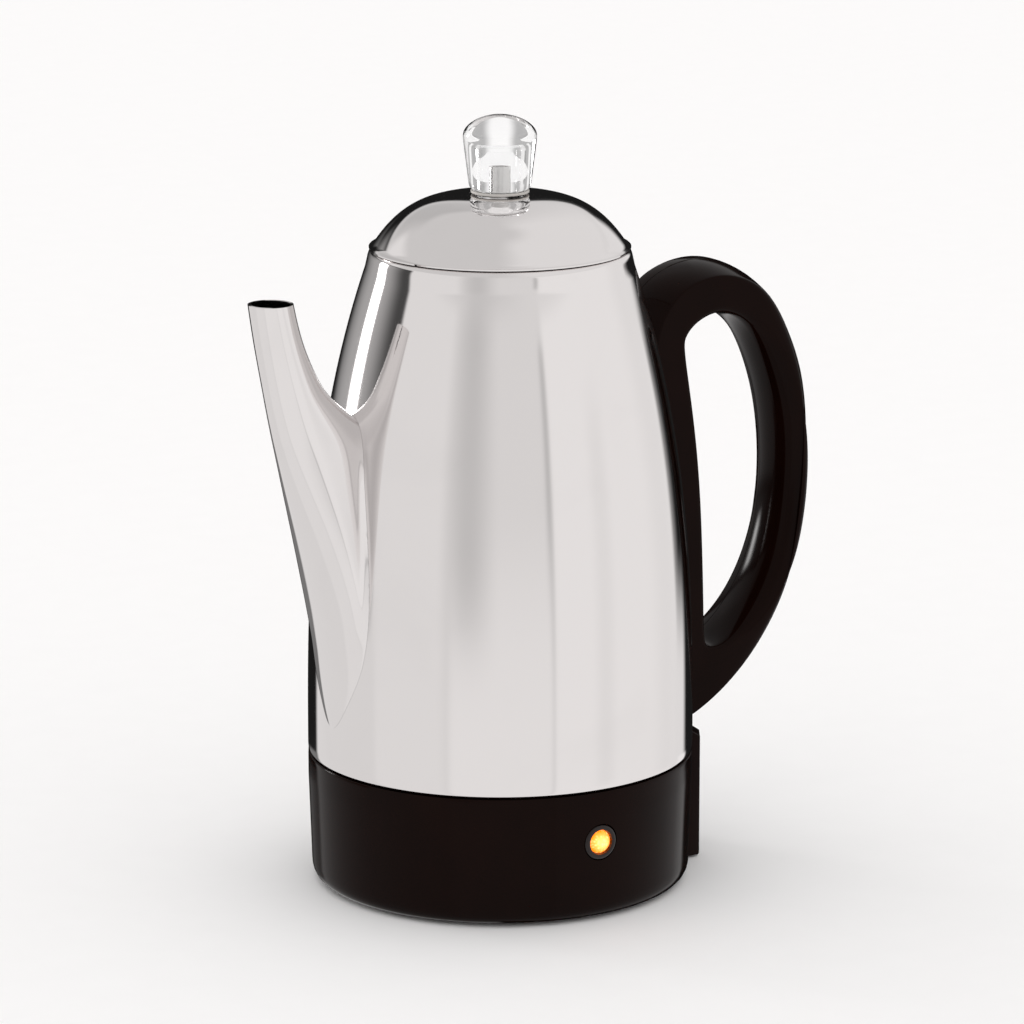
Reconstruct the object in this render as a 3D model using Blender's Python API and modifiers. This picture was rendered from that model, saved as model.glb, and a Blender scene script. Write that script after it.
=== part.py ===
"""Electric countertop coffee percolator, modelled piece by piece.

The pot's axis is +Z and the table is z = 0. The spout points along -X, the handle along +X
and the indicator lamp along -Y. Lengths in this file are millimetres until scaled by MM.
"""
from math import cos, pi, radians, sin

import bmesh
import bpy
from mathutils import Vector

MM = 0.001

# Driving dimensions
GAP = 0.3                   # clearance between pieces that touch
SHEET = 0.8                 # wall of the steel pot and spout
POT_FOOT_R = 75.05          # widest radius of the pot, at the plastic base
POT_FOOT_Z = 51.5           # lower edge of the steel
POT_SHOULDER_R = 51.65      # radius where the shoulder starts to roll in
POT_SHOULDER_Z = 242.0
POT_TAPER_POWER = 2.73      # how late the wall starts to draw in
MOUTH_Z = 248.9             # top of the pot's rim
LID_LIP_R = 49.3
LID_LIP_Z = 249.3
LID_HEIGHT = 20.6
LID_POWER = 3.8
KNOB_TOP_Z = 300.2
COVER_Z = 1.9               # underside of the bottom cover, inside its foot ring
FLOOR_Z = POT_FOOT_Z        # underside of the pot's floor
WELL_HOLE_R = 16.4          # hole in the pot's floor for the heating well
LAMP_Z = 31.5
STRAP_HALF_W = 12.3         # half width of the handle along the pot
GRIP_HALF_W = 15.9          # half width of the handle at its grip
HANDLE_PARTING_Y = 5.5      # joint between the handle's main half and its cover half
INLET_PIN_SPACING = 12.7
INLET_PIN_R = 2.35
INLET_Z = 24.0
COVER_SCREW_R = 53.0        # circle that the cover's screws lie on
STEPS_BIG = 36
STEPS_SMALL = 20

COLOURS = {
    "steel": ((0.78, 0.77, 0.76), 0.08, 1.0),
    "spun_steel": ((0.70, 0.70, 0.69), 0.28, 1.0),
    "zinc": ((0.60, 0.60, 0.58), 0.40, 1.0),
    "brown_black": ((0.012, 0.007, 0.005), 0.16, 0.0),
    "clear": ((0.90, 0.92, 0.93), 0.03, 0.0),
    "amber": ((0.95, 0.42, 0.04), 0.12, 0.0),
    "black": ((0.015, 0.015, 0.016), 0.45, 0.0),
    "silicone": ((0.62, 0.60, 0.57), 0.60, 0.0),
    "ceramic": ((0.85, 0.82, 0.76), 0.55, 0.0),
    "wire_red": ((0.45, 0.03, 0.02), 0.50, 0.0),
    "wire_white": ((0.75, 0.74, 0.70), 0.50, 0.0),
}


def clear_scene():
    for obj in list(bpy.data.objects):
        bpy.data.objects.remove(obj)


def new_collection(name):
    coll = bpy.data.collections.new(name)
    bpy.context.scene.collection.children.link(coll)
    return coll


def finish_material(name):
    mat = bpy.data.materials.get(name)
    if mat is None:
        colour, roughness, metallic = COLOURS[name]
        mat = bpy.data.materials.new(name)
        mat.use_nodes = True
        shader = mat.node_tree.nodes["Principled BSDF"]
        shader.inputs["Base Color"].default_value = (*colour, 1.0)
        shader.inputs["Roughness"].default_value = roughness
        shader.inputs["Metallic"].default_value = metallic
        if name == "clear":
            shader.inputs["Transmission Weight"].default_value = 1.0
    return mat


def link_part(obj, finish):
    obj.data.materials.append(finish_material(finish))
    PARTS.objects.link(obj)
    return obj


def link_cutter(obj):
    obj.hide_render = True
    obj.display_type = "WIRE"
    CUTTERS.objects.link(obj)
    return obj


def mesh_object(name, bm):
    bmesh.ops.recalc_face_normals(bm, faces=bm.faces)
    mesh = bpy.data.meshes.new(name)
    bm.to_mesh(mesh)
    bm.free()
    return bpy.data.objects.new(name, mesh)


# Shapes ---------------------------------------------------------------------------------------

def profile_mesh(name, profile, closed):
    mesh = bpy.data.meshes.new(name)
    count = len(profile)
    edges = [(i, i + 1) for i in range(count - 1)]
    if closed:
        edges.append((count - 1, 0))
    mesh.from_pydata([(r * MM, 0.0, z * MM) for r, z in profile], edges, [])
    return mesh


def turned(name, profile, steps=STEPS_BIG, closed=True, wall=None):
    """Spins a profile of (radius, z) points, outer side first and top to bottom, around Z."""
    obj = bpy.data.objects.new(name, profile_mesh(name, profile, closed))
    screw = obj.modifiers.new("turn", "SCREW")
    screw.axis = "Z"
    screw.steps = steps
    screw.render_steps = steps
    screw.use_merge_vertices = True
    screw.merge_threshold = 0.00001
    if wall:
        shell = obj.modifiers.new("wall", "SOLIDIFY")
        shell.thickness = wall * MM
        shell.offset = -1.0
        shell.use_even_offset = True
    return obj


def box(name, low, high):
    bm = bmesh.new()
    bmesh.ops.create_cube(bm, size=MM)
    size = [h - l for l, h in zip(low, high)]
    bmesh.ops.scale(bm, vec=size, verts=bm.verts)
    obj = mesh_object(name, bm)
    obj.location = [(l + h) / 2 * MM for l, h in zip(low, high)]
    return obj


def rod(name, centre, radius, length, axis="Z", segments=16):
    """A cylinder centred on a point, along X, Y or Z."""
    bm = bmesh.new()
    bmesh.ops.create_cone(bm, cap_ends=True, segments=segments, radius1=radius * MM,
                          radius2=radius * MM, depth=length * MM)
    obj = mesh_object(name, bm)
    obj.location = Vector(centre) * MM
    turns = {"X": (0.0, pi / 2, 0.0), "Y": (pi / 2, 0.0, 0.0), "Z": (0.0, 0.0, 0.0)}
    obj.rotation_euler = turns[axis]
    return obj


def flat_plate(name, outline, half_thickness):
    """A filled outline of (x, z) points, thickened both ways along Y."""
    curve = bpy.data.curves.new(name, "CURVE")
    curve.dimensions = "2D"
    curve.fill_mode = "BOTH"
    curve.extrude = half_thickness * MM
    spline = curve.splines.new("POLY")
    spline.points.add(len(outline) - 1)
    for point, (x, z) in zip(spline.points, outline):
        point.co = (x * MM, z * MM, 0.0, 1.0)
    spline.use_cyclic_u = True
    obj = bpy.data.objects.new(name, curve)
    obj.rotation_euler = (pi / 2, 0.0, 0.0)
    return curve_to_mesh(obj)


def curve_to_mesh(obj):
    PARTS.objects.link(obj)
    evaluated = obj.evaluated_get(bpy.context.evaluated_depsgraph_get())
    mesh = bpy.data.meshes.new_from_object(evaluated)
    bm = bmesh.new()
    bm.from_mesh(mesh)
    bmesh.ops.remove_doubles(bm, verts=bm.verts, dist=0.00001)
    bmesh.ops.recalc_face_normals(bm, faces=bm.faces)
    bm.to_mesh(mesh)
    bm.free()
    solid = bpy.data.objects.new(obj.name, mesh)
    solid.matrix_world = obj.matrix_world.copy()
    name = obj.name
    bpy.data.objects.remove(obj)
    solid.name = name
    return solid


def smooth_path(points, per_span=3):
    """Points along a smooth curve through the given ones."""
    pts = [Vector(p) for p in points]
    ends = [pts[0] * 2 - pts[1]] + pts + [pts[-1] * 2 - pts[-2]]
    path = []
    for a, b, c, d in zip(ends, ends[1:], ends[2:], ends[3:]):
        for k in range(per_span):
            t = k / per_span
            path.append(0.5 * (2 * b + (c - a) * t + (2 * a - 5 * b + 4 * c - d) * t * t
                               + (3 * b - a - 3 * c + d) * t ** 3))
    return path + [pts[-1]]


def wire(name, route, radius, finish):
    curve = bpy.data.curves.new(name, "CURVE")
    curve.dimensions = "3D"
    curve.bevel_depth = radius * MM
    curve.bevel_resolution = 2
    curve.use_fill_caps = True
    path = smooth_path(route)
    spline = curve.splines.new("POLY")
    spline.points.add(len(path) - 1)
    for point, place in zip(spline.points, path):
        point.co = (*(place * MM), 1.0)
    link_part(bpy.data.objects.new(name, curve), finish)


def skin(name, rings, closed_loop=False, cap=True):
    """Joins equal rings of points with quads; the ends are capped or joined to each other."""
    bm = bmesh.new()
    loops = [[bm.verts.new(Vector(p) * MM) for p in ring] for ring in rings]
    pairs = list(zip(loops, loops[1:]))
    if closed_loop:
        pairs.append((loops[-1], loops[0]))
    for lower, upper in pairs:
        count = len(lower)
        for i in range(count):
            j = (i + 1) % count
            bm.faces.new((lower[i], lower[j], upper[j], upper[i]))
    if cap and not closed_loop:
        bm.faces.new(loops[0])
        bm.faces.new(loops[-1])
    return mesh_object(name, bm)


def boolean(obj, cutter, operation="DIFFERENCE"):
    mod = obj.modifiers.new(operation.lower(), "BOOLEAN")
    mod.operation = operation
    mod.object = cutter
    mod.solver = "EXACT"


def cut(obj, *cutters):
    for cutter in cutters:
        if cutter.name not in CUTTERS.objects:
            link_cutter(cutter)
        boolean(obj, cutter)


def join(obj, *pieces):
    for piece in pieces:
        link_cutter(piece)
        boolean(obj, piece, "UNION")


# Pot --------------------------------------------------------------------------------------------

def pot_radius(z):
    rise = max(0.0, (z - POT_FOOT_Z) / (POT_SHOULDER_Z - POT_FOOT_Z))
    return POT_FOOT_R - (POT_FOOT_R - POT_SHOULDER_R) * rise ** POT_TAPER_POWER


def wall_profile(spacing=18.8):
    """Pot wall from the shoulder down, as (radius, z)."""
    count = round((POT_SHOULDER_Z - 54.0) / spacing)
    levels = [POT_SHOULDER_Z - (POT_SHOULDER_Z - 54.0) * i / count for i in range(count + 1)]
    return [(pot_radius(z), z) for z in levels]


def strainer_holes():
    """Hexagon of holes through the pot wall, behind the spout."""
    places = [(0.0, 150.0)]
    for k in range(6):
        places.append((8.0 * cos(k * pi / 3), 150.0 + 8.0 * sin(k * pi / 3)))
    return [rod("strainer_hole_%d" % i, (-70.0, y, z), 2.4, 24.0, "X", 8)
            for i, (y, z) in enumerate(places)]


def pot_body():
    rim = [(48.9, MOUTH_Z), (50.0, 247.7), (50.9, 245.3)]
    foot = [(74.8, 52.3), (73.8, FLOOR_Z), (46.0, FLOOR_Z), (WELL_HOLE_R, FLOOR_Z)]
    pot = turned("pot_body", rim + wall_profile() + foot, closed=False, wall=SHEET)
    link_part(pot, "steel")
    cut(pot, *strainer_holes())


def pot_cutter():
    """Solid of the pot's outer shape, one clearance larger."""
    wall = [(r + GAP, z) for r, z in wall_profile()]
    top = [(0.0, 250.0), (50.0, 250.0), (51.2 + GAP, 245.3)]
    return link_cutter(turned("pot_cutter", top + wall + [(POT_FOOT_R + GAP, 40.0), (0.0, 40.0)],
                              closed=False))


# Each station of the spout: height, nose x, widest x, half width, back x. Below the crotch
# (z = 188) the back lies inside the pot, where the wall trims it.
SPOUT_STATIONS = [
    (62.0, -70.5, -66.0, 6.0, -40.0),
    (68.0, -74.9, -68.0, 9.0, -40.0),
    (80.0, -76.2, -68.5, 14.5, -40.0),
    (92.0, -77.0, -69.5, 17.6, -40.0),
    (108.0, -79.2, -71.0, 19.9, -40.0),
    (125.0, -82.6, -72.5, 20.5, -40.0),
    (147.0, -88.8, -77.0, 18.2, -40.0),
    (162.0, -92.8, -80.0, 15.5, -40.0),
    (178.0, -97.0, -84.0, 12.2, -44.0),
    (188.0, -99.5, -87.0, 10.5, -64.5),
    (199.0, -101.7, -90.0, 9.7, -75.6),
    (207.5, -103.3, -92.2, 9.3, -80.7),
    (222.0, -106.0, -96.4, 8.9, -87.2),
    (237.0, -108.3, -99.65, 8.65, -91.0),
]


def spout_ring(z, nose, wide, half, back, count=24):
    ring = []
    for k in range(count):
        angle = 2 * pi * k / count
        reach = (wide - nose) if cos(angle) > 0 else (back - wide)
        ring.append((wide - reach * cos(angle), half * sin(angle), z))
    return ring


def spout():
    obj = skin("spout", [spout_ring(*station) for station in SPOUT_STATIONS], cap=False)
    shell = obj.modifiers.new("wall", "SOLIDIFY")
    shell.thickness = SHEET * MM
    shell.offset = -1.0
    shell.use_even_offset = True
    link_part(obj, "steel")
    cut(obj, POT_CUTTER)


# Base -------------------------------------------------------------------------------------------

def screw_places():
    angles = [radians(60.0 + 120.0 * k) for k in range(3)]
    return [(COVER_SCREW_R * cos(a), COVER_SCREW_R * sin(a)) for a in angles]


def screw_post(index, x, y):
    """A post for one cover screw, with a rib that joins it to the skirt's wall."""
    post = rod("post_%d" % index, (x, y, 15.2), 4.2, 22.0, segments=14)
    rib = box("rib_%d" % index, (0.0, -1.2, 8.4), (21.0, 1.2, 25.0))
    angle = radians(60.0 + 120.0 * index)
    rib.location = Vector((x + 10.0 * cos(angle), y + 10.0 * sin(angle), 16.7)) * MM
    rib.rotation_euler = (0.0, 0.0, angle)
    hole = rod("pilot_%d" % index, (x, y, 9.0), 1.8, 18.0, segments=10)
    return [post, rib], hole


def base_skirt():
    outer = [(POT_FOOT_R, POT_FOOT_Z - GAP), (75.0, 42.0), (74.5, 23.0), (74.1, 14.5),
             (73.6, 6.4), (72.9, 3.4), (71.6, 1.8), (69.8, 1.2)]
    inner = [(66.4, 1.2), (66.4, 3.4), (70.2, 3.6), (71.3, 7.0), (72.1, 23.0), (72.5, 48.9),
             (62.0, 48.9), (62.0, POT_FOOT_Z - GAP)]
    skirt = link_part(turned("base_skirt", outer + inner), "brown_black")
    for index, (x, y) in enumerate(screw_places()):
        solids, hole = screw_post(index, x, y)
        join(skirt, *solids)
        cut(skirt, hole)
    cut(skirt, rod("lamp_hole", (0.0, -74.0, LAMP_Z), 7.2, 16.0, "Y", 24))
    cut(skirt, box("inlet_window", (60.0, -14.3, 9.7), (90.0, 14.3, 45.3)))


def bottom_cover():
    under = [(66.0, 8.0), (66.0, COVER_Z), (60.5, COVER_Z), (60.0, 0.0), (57.0, 0.0),
             (56.5, COVER_Z), (0.0, COVER_Z)]
    top = [(0.0, COVER_Z + 2.0), (64.0, COVER_Z + 2.0), (64.0, 8.0)]
    cover = link_part(turned("bottom_cover", under + top, closed=True), "brown_black")
    for index, (x, y) in enumerate(screw_places()):
        cut(cover, rod("cover_hole_%d" % index, (x, y, 3.0), 1.8, 8.0, segments=10))


def cover_screws():
    head_top = COVER_Z - GAP
    profile = [(0.0, 15.0), (1.1, 14.4), (1.4, 13.4), (1.4, head_top), (3.3, head_top),
               (3.1, 0.9), (2.2, 0.4), (0.0, 0.3)]
    for index, (x, y) in enumerate(screw_places()):
        screw = turned("cover_screw_%d" % (index + 1), profile, 14, closed=False)
        screw.location = (x * MM, y * MM, 0.0)
        link_part(screw, "zinc")


def facing_front(obj):
    """Turns a piece made around Z so that its top faces -Y, at the lamp's height."""
    obj.rotation_euler = (pi / 2, 0.0, 0.0)
    obj.location = (0.0, 0.0, LAMP_Z * MM)
    return obj


def indicator():
    lens = [(0.0, 76.2), (1.6, 76.0), (3.0, 75.4), (4.0, 74.4), (4.5, 73.2), (4.5, 64.0),
            (3.4, 64.0), (3.4, 72.0), (0.0, 72.6)]
    link_part(facing_front(turned("indicator_lens", lens, 24, closed=False)), "amber")
    bezel = [(5.2, 75.1), (6.2, 75.1), (6.9, 74.4), (6.9, 70.0), (4.8, 70.0), (4.8, 74.6)]
    link_part(facing_front(turned("indicator_bezel", bezel, 28)), "black")
    lamp = [(0.0, 71.0), (1.5, 70.4), (2.6, 68.4), (2.6, 50.6), (2.0, 50.0), (0.0, 50.0)]
    link_part(facing_front(turned("indicator_lamp", lamp, 14, closed=False)), "ceramic")


def inlet_ring(z, inset):
    """Plan of the inlet's housing at a height, its outer faces set back by the inset."""
    front = [(77.5 - inset, -24.0), (82.3 - inset, -16.0), (82.3 - inset, 16.0),
             (77.5 - inset, 24.0)]
    return [(x, y, z) for x, y in [(60.0, -24.0)] + front + [(60.0, 24.0)]]


def inlet():
    rings = [inlet_ring(0.6, 1.0), inlet_ring(1.6, 0.0), inlet_ring(49.6, 0.0),
             inlet_ring(53.2, 5.4)]
    shroud = skin("inlet_housing", rings)
    link_part(shroud, "brown_black")
    skirt_side = [(0.0, 60.0), (POT_FOOT_R + 0.4, 60.0), (POT_FOOT_R + 0.4, 0.0), (0.0, 0.0)]
    cut(shroud, turned("skirt_cutter", skirt_side, closed=False))
    join(shroud, box("inlet_core", (56.0, -14.0, 10.0), (80.0, 14.0, 45.0)))
    cut(shroud, box("inlet_socket", (59.0, -11.5, 15.0), (90.0, 11.5, 33.0)))
    for side, name in ((-1, "left"), (1, "right")):
        y = side * INLET_PIN_SPACING / 2
        cut(shroud, rod("pin_hole_" + name, (58.0, y, INLET_Z), INLET_PIN_R + GAP, 10.0, "X"))
        pin = rod("inlet_pin_" + name, (64.0, y, INLET_Z), INLET_PIN_R, 28.0, "X")
        link_part(pin, "zinc")


def clamp_bar():
    """Bar under the pot's floor whose cranked ends pull the skirt's ledge upwards."""
    top = [(-68.0, 48.6), (-60.0, 48.6), (-57.0, 51.2), (57.0, 51.2), (60.0, 48.6), (68.0, 48.6)]
    under = [(68.0, 47.4), (59.4, 47.4), (56.4, 50.0), (-56.4, 50.0), (-59.4, 47.4),
             (-68.0, 47.4)]
    bar = link_part(flat_plate("base_clamp_bar", top + under, 22.0), "zinc")
    for side in (-1, 1):
        for end in (-1, 1):
            x = sorted((end * 24.0, end * 80.0))
            y = sorted((side * 8.0, side * 40.0))
            name = "bar_trim_%d_%d" % (side, end)
            cut(bar, box(name, (x[0], y[0], 40.0), (x[1], y[1], 60.0)))
    cut(bar, rod("bar_hole", (0.0, 0.0, 50.0), WELL_HOLE_R, 20.0, segments=28))


def heating_well():
    cup = [(22.0, 53.9), (16.0, 53.9), (16.0, 35.2), (15.0, 34.2), (0.0, 34.2)]
    well = turned("pump_well", cup, STEPS_SMALL, closed=False, wall=SHEET)
    link_part(well, "spun_steel")
    gasket = [(21.6, 53.6), (21.6, 52.6), (17.0, 52.6), (17.0, 53.6)]
    link_part(turned("well_gasket", gasket, STEPS_SMALL), "silicone")
    nut = link_part(rod("well_nut", (0.0, 0.0, 47.2), 24.0, 5.0, segments=6), "zinc")
    cut(nut, rod("nut_bore", (0.0, 0.0, 47.2), WELL_HOLE_R, 20.0, segments=28))


def heater():
    ring = [(20.6, 44.4), (22.0, 43.0), (22.0, 38.0), (20.6, 36.6), (WELL_HOLE_R, 36.6),
            (WELL_HOLE_R, 44.4)]
    element = link_part(turned("heater_element", ring, STEPS_SMALL), "spun_steel")
    join(element, box("blade_a", (-31.0, 7.0, 40.0), (-18.5, 12.0, 40.8)),
         box("blade_b", (18.5, -12.0, 40.0), (31.0, -7.0, 40.8)))


def thermal_cutouts():
    can = link_part(rod("thermostat", (0.0, 44.0, 47.35), 8.0, 7.7, segments=20), "zinc")
    for side in (-1, 1):
        x = side * 4.0
        join(can, box("terminal_%d" % side, (x - 2.4, 43.6, 37.0), (x + 2.4, 44.4, 45.0)))
    link_part(rod("thermal_fuse", (-34.0, 22.0, 28.0), 2.0, 12.0, "Y", 12), "zinc")


def wiring():
    mains = 1.1
    fine = 0.8
    wire("wire_inlet_thermostat", [(49.6, 6.35, 24.0), (46.0, 8.0, 24.0), (38.0, 20.0, 22.0),
                                   (25.0, 36.0, 22.0), (10.0, 44.0, 26.0), (4.0, 44.0, 31.5),
                                   (4.0, 44.0, 36.6)], mains, "wire_red")
    wire("wire_thermostat_fuse", [(-4.0, 44.0, 36.6), (-5.0, 44.5, 32.0), (-12.0, 44.0, 28.5),
                                  (-24.0, 40.0, 28.0), (-33.0, 33.5, 28.0),
                                  (-34.0, 28.4, 28.0)], mains, "wire_red")
    wire("wire_fuse_heater", [(-34.0, 15.6, 28.0), (-35.0, 11.0, 29.0), (-37.0, 9.5, 34.0),
                              (-36.0, 9.5, 39.0), (-31.5, 9.5, 40.4)], mains, "wire_red")
    wire("wire_heater_inlet", [(31.5, -9.5, 40.4), (36.0, -9.5, 39.0), (40.0, -9.0, 32.0),
                               (44.0, -7.0, 25.5), (49.6, -6.35, 24.0)], mains, "wire_white")
    wire("wire_lamp_neutral", [(1.2, -49.4, 31.5), (6.0, -44.0, 27.0), (20.0, -34.0, 20.0),
                               (36.0, -18.0, 17.0), (46.0, -8.0, 18.5), (53.0, -6.35, 20.4)],
         fine, "wire_white")
    wire("wire_lamp_live", [(-1.2, -49.4, 31.5), (-2.0, -42.0, 27.0), (4.0, -31.0, 18.0),
                            (20.0, -20.0, 13.0), (38.0, -2.0, 13.0), (47.0, 5.0, 17.5),
                            (53.0, 6.35, 20.4)], fine, "wire_red")


# Handle -----------------------------------------------------------------------------------------

# Stations of the handle's closed loop, inner point and outer point in the X-Z plane. They run
# from the top of the strap over the grip, down to the tail and back up along the pot.
HANDLE_STATIONS = [
    ((77.4, 204.0), (56.5, 205.0)),
    ((78.4, 207.8), (57.6, 214.0)),
    ((81.6, 211.4), (62.8, 222.0)),
    ((86.3, 213.9), (73.5, 230.6)),
    ((93.2, 215.4), (90.0, 235.0)),
    ((101.0, 212.6), (105.0, 232.6)),
    ((108.9, 205.8), (118.3, 223.3)),
    ((116.0, 193.2), (128.0, 205.0)),
    ((121.2, 177.0), (133.2, 186.0)),
    ((123.8, 160.0), (134.8, 164.0)),
    ((123.4, 143.5), (134.2, 143.5)),
    ((121.0, 128.0), (131.2, 123.5)),
    ((116.4, 114.0), (126.0, 105.0)),
    ((110.6, 101.0), (118.4, 89.5)),
    ((103.0, 90.6), (108.0, 75.6)),
    ((96.0, 84.6), (96.5, 65.2)),
    ((91.0, 82.8), (86.0, 57.8)),
    ((88.2, 83.6), (73.0, 52.6)),
    ((87.0, 88.0), (70.0, 70.0)),
    ((86.6, 98.0), (70.0, 92.0)),
    ((86.0, 114.0), (69.5, 112.0)),
    ((84.9, 136.0), (68.5, 136.0)),
    ((83.2, 158.0), (66.5, 158.0)),
    ((80.8, 178.0), (63.0, 178.0)),
    ((78.4, 194.0), (58.0, 194.0)),
]
HANDLE_SQUARENESS = 4.4     # exponent of the rounded section, 2 is an ellipse
GRIP_FROM_X = 84.0          # the handle starts to widen here, away from the pot
GRIP_FULL_X = 116.0


def handle_half_width(x):
    """Half width of the handle at a distance from the pot's axis."""
    share = min(1.0, max(0.0, (x - GRIP_FROM_X) / (GRIP_FULL_X - GRIP_FROM_X)))
    return STRAP_HALF_W + (GRIP_HALF_W - STRAP_HALF_W) * share


def handle_ring(inner, outer, count=16):
    """Rounded section between the loop's inner and outer points."""
    low, high = Vector(inner), Vector(outer)
    middle, reach = (low + high) / 2, (high - low) / 2
    half_width = handle_half_width(middle.x)
    power = 2.0 / HANDLE_SQUARENESS
    ring = []
    for k in range(count):
        c, s = cos(2 * pi * k / count), sin(2 * pi * k / count)
        along = (abs(c) ** power) * (1 if c > 0 else -1)
        across = (abs(s) ** power) * (1 if s > 0 else -1)
        place = middle + reach * along
        ring.append((place.x, half_width * across, place.y))
    return ring


def handle_loop(name):
    return skin(name, [handle_ring(*station) for station in HANDLE_STATIONS], closed_loop=True)


def grip_channel():
    """Hollow inside the grip, open at the joint between the handle's halves."""
    stations = HANDLE_STATIONS[4:15]
    rings = []
    for inner, outer in stations:
        low, high = Vector(inner), Vector(outer)
        middle, reach = (low + high) / 2, (high - low) * 0.24
        ring = []
        for k in range(8):
            c, s = cos(2 * pi * k / 8), sin(2 * pi * k / 8)
            place = middle + reach * c
            ring.append((place.x, HANDLE_PARTING_Y + 4.0 * s, place.y))
        rings.append(ring)
    return skin("grip_channel", rings)


def bracket(name, low, high, screw_x, screw_z):
    tab = link_part(box(name, low, high), "spun_steel")
    cut(tab, rod(name + "_hole", (screw_x, 0.0, screw_z), 1.8, 20.0, "Y", 12))
    return box(name + "_pocket", [low[0] - 8.0, low[1] - GAP, low[2] - GAP],
               [v + GAP for v in high])


def handle():
    main = link_part(handle_loop("handle_body"), "brown_black")
    cover = link_part(handle_loop("handle_cover"), "brown_black")
    half = GAP / 2
    far_side = box("far_side", (0.0, HANDLE_PARTING_Y - half, 0.0), (200.0, 60.0, 300.0))
    near_side = box("near_side", (0.0, -60.0, 0.0), (200.0, HANDLE_PARTING_Y + half, 300.0))
    cut(main, far_side, POT_CUTTER)
    cut(cover, near_side, POT_CUTTER)
    channel = grip_channel()
    cut(main, channel)
    cut(cover, channel)
    places = {"top": ((62.6, -4.0, 206.0), (71.0, 4.0, 216.0), 67.4, 211.0),
              "bottom": ((75.5, -4.0, 62.0), (84.5, 4.0, 74.0), 80.5, 68.0)}
    for end, (low, high, x, z) in places.items():
        pocket = bracket("handle_bracket_" + end, low, high, x, z)
        hole = rod("screw_hole_" + end, (x, 2.0, z), 1.8, 26.0, "Y", 12)
        head_room = rod("head_room_" + end, (x, 14.0, z), 3.5, 9.0, "Y", 14)
        cut(main, pocket, hole)
        cut(cover, hole, head_room)
        handle_screw("handle_screw_" + end, x, z)


def handle_screw(name, x, z):
    """Screw from the cover side, head sunk at +Y."""
    profile = [(0.0, 11.6), (2.2, 11.5), (3.1, 11.0), (3.2, 9.8), (1.5, 9.8), (1.5, -8.6),
               (1.1, -9.6), (0.0, -9.8)]
    screw = turned(name, profile, 14, closed=False)
    screw.rotation_euler = (-pi / 2, 0.0, 0.0)
    screw.location = (x * MM, 0.0, z * MM)
    link_part(screw, "zinc")


# Pump, basket and spreader ----------------------------------------------------------------------

def pump():
    tube = [(4.0, 281.4), (4.0, 171.9), (6.6, 171.6), (6.6, 170.4), (4.0, 169.6), (4.0, 40.0),
            (3.2, 40.0), (3.2, 281.4)]
    link_part(turned("pump_tube", tube, 20), "spun_steel")
    bell = [(5.3, 62.0), (5.3, 50.0), (8.0, 46.0), (13.0, 43.6), (14.5, 41.8), (14.5, 35.4),
            (13.4, 35.4), (13.4, 41.2), (12.4, 42.6), (7.2, 45.0), (4.3, 49.4), (4.3, 62.0)]
    link_part(turned("pump_base", bell, STEPS_SMALL), "spun_steel")
    seat = [(13.1, 36.6), (13.1, 35.6), (5.0, 35.6), (5.0, 36.6)]
    link_part(turned("valve_seat", seat, STEPS_SMALL), "spun_steel")
    disc = [(0.0, 37.7), (8.4, 37.7), (8.4, 36.9), (0.0, 36.9)]
    link_part(turned("valve_disc", disc, 20, closed=False), "spun_steel")


def hole_circle(name, radius, count, size, z, depth):
    angles = [2 * pi * (k + 0.43) / count for k in range(count)]
    return [rod("%s_%d" % (name, i), (radius * cos(a), radius * sin(a), z), size, depth,
                segments=6) for i, a in enumerate(angles)]


def basket():
    profile = [(44.4, 231.4), (42.8, 230.9), (41.6, 202.0), (40.6, 174.2), (38.8, 172.2),
               (7.0, 172.2), (4.9, 173.6), (4.7, 196.0)]
    cup = turned("basket", profile, 32, closed=False, wall=0.6)
    link_part(cup, "spun_steel")
    cut(cup, *hole_circle("basket_inner_hole", 16.0, 8, 1.3, 172.5, 6.0))
    cut(cup, *hole_circle("basket_outer_hole", 29.0, 14, 1.3, 172.5, 6.0))


def spreader():
    profile = [(4.8, 238.0), (14.0, 237.8), (32.0, 236.2), (42.0, 233.4), (45.0, 233.2),
               (45.0, 232.5), (41.8, 232.7), (31.8, 235.5), (14.0, 237.1), (4.8, 237.3)]
    plate = link_part(turned("spreader", profile, 24), "spun_steel")
    cut(plate, *hole_circle("spreader_inner_hole", 14.0, 6, 1.3, 237.0, 8.0))
    cut(plate, *hole_circle("spreader_outer_hole", 26.0, 10, 1.3, 236.5, 8.0))


# Lid and knob -----------------------------------------------------------------------------------

def lid_z(radius):
    return LID_LIP_Z + LID_HEIGHT * (1 - (radius / LID_LIP_R) ** LID_POWER)


def lid():
    radii = [9.7, 20.0, 28.0, 34.0, 39.0, 43.5, 48.4]
    dome = [(r, lid_z(r)) for r in radii]
    lip = [(49.4, 249.9), (50.2, 249.7)]
    shell = turned("lid_dome", dome + lip, closed=False, wall=0.6)
    link_part(shell, "steel")
    for side in (-1, 1):
        y = sorted((side * 6.0, side * 12.0))
        notch = box("lid_notch_%d" % side, (-3.2, y[0], 262.0), (3.2, y[1], 274.0))
        cut(shell, notch)
    ring = [(47.2, 249.6), (46.9, 249.0), (46.9, 240.5), (46.2, 240.5), (46.2, 249.4),
            (46.2, 251.0)]
    link_part(turned("lid_ring", ring), "spun_steel")


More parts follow.
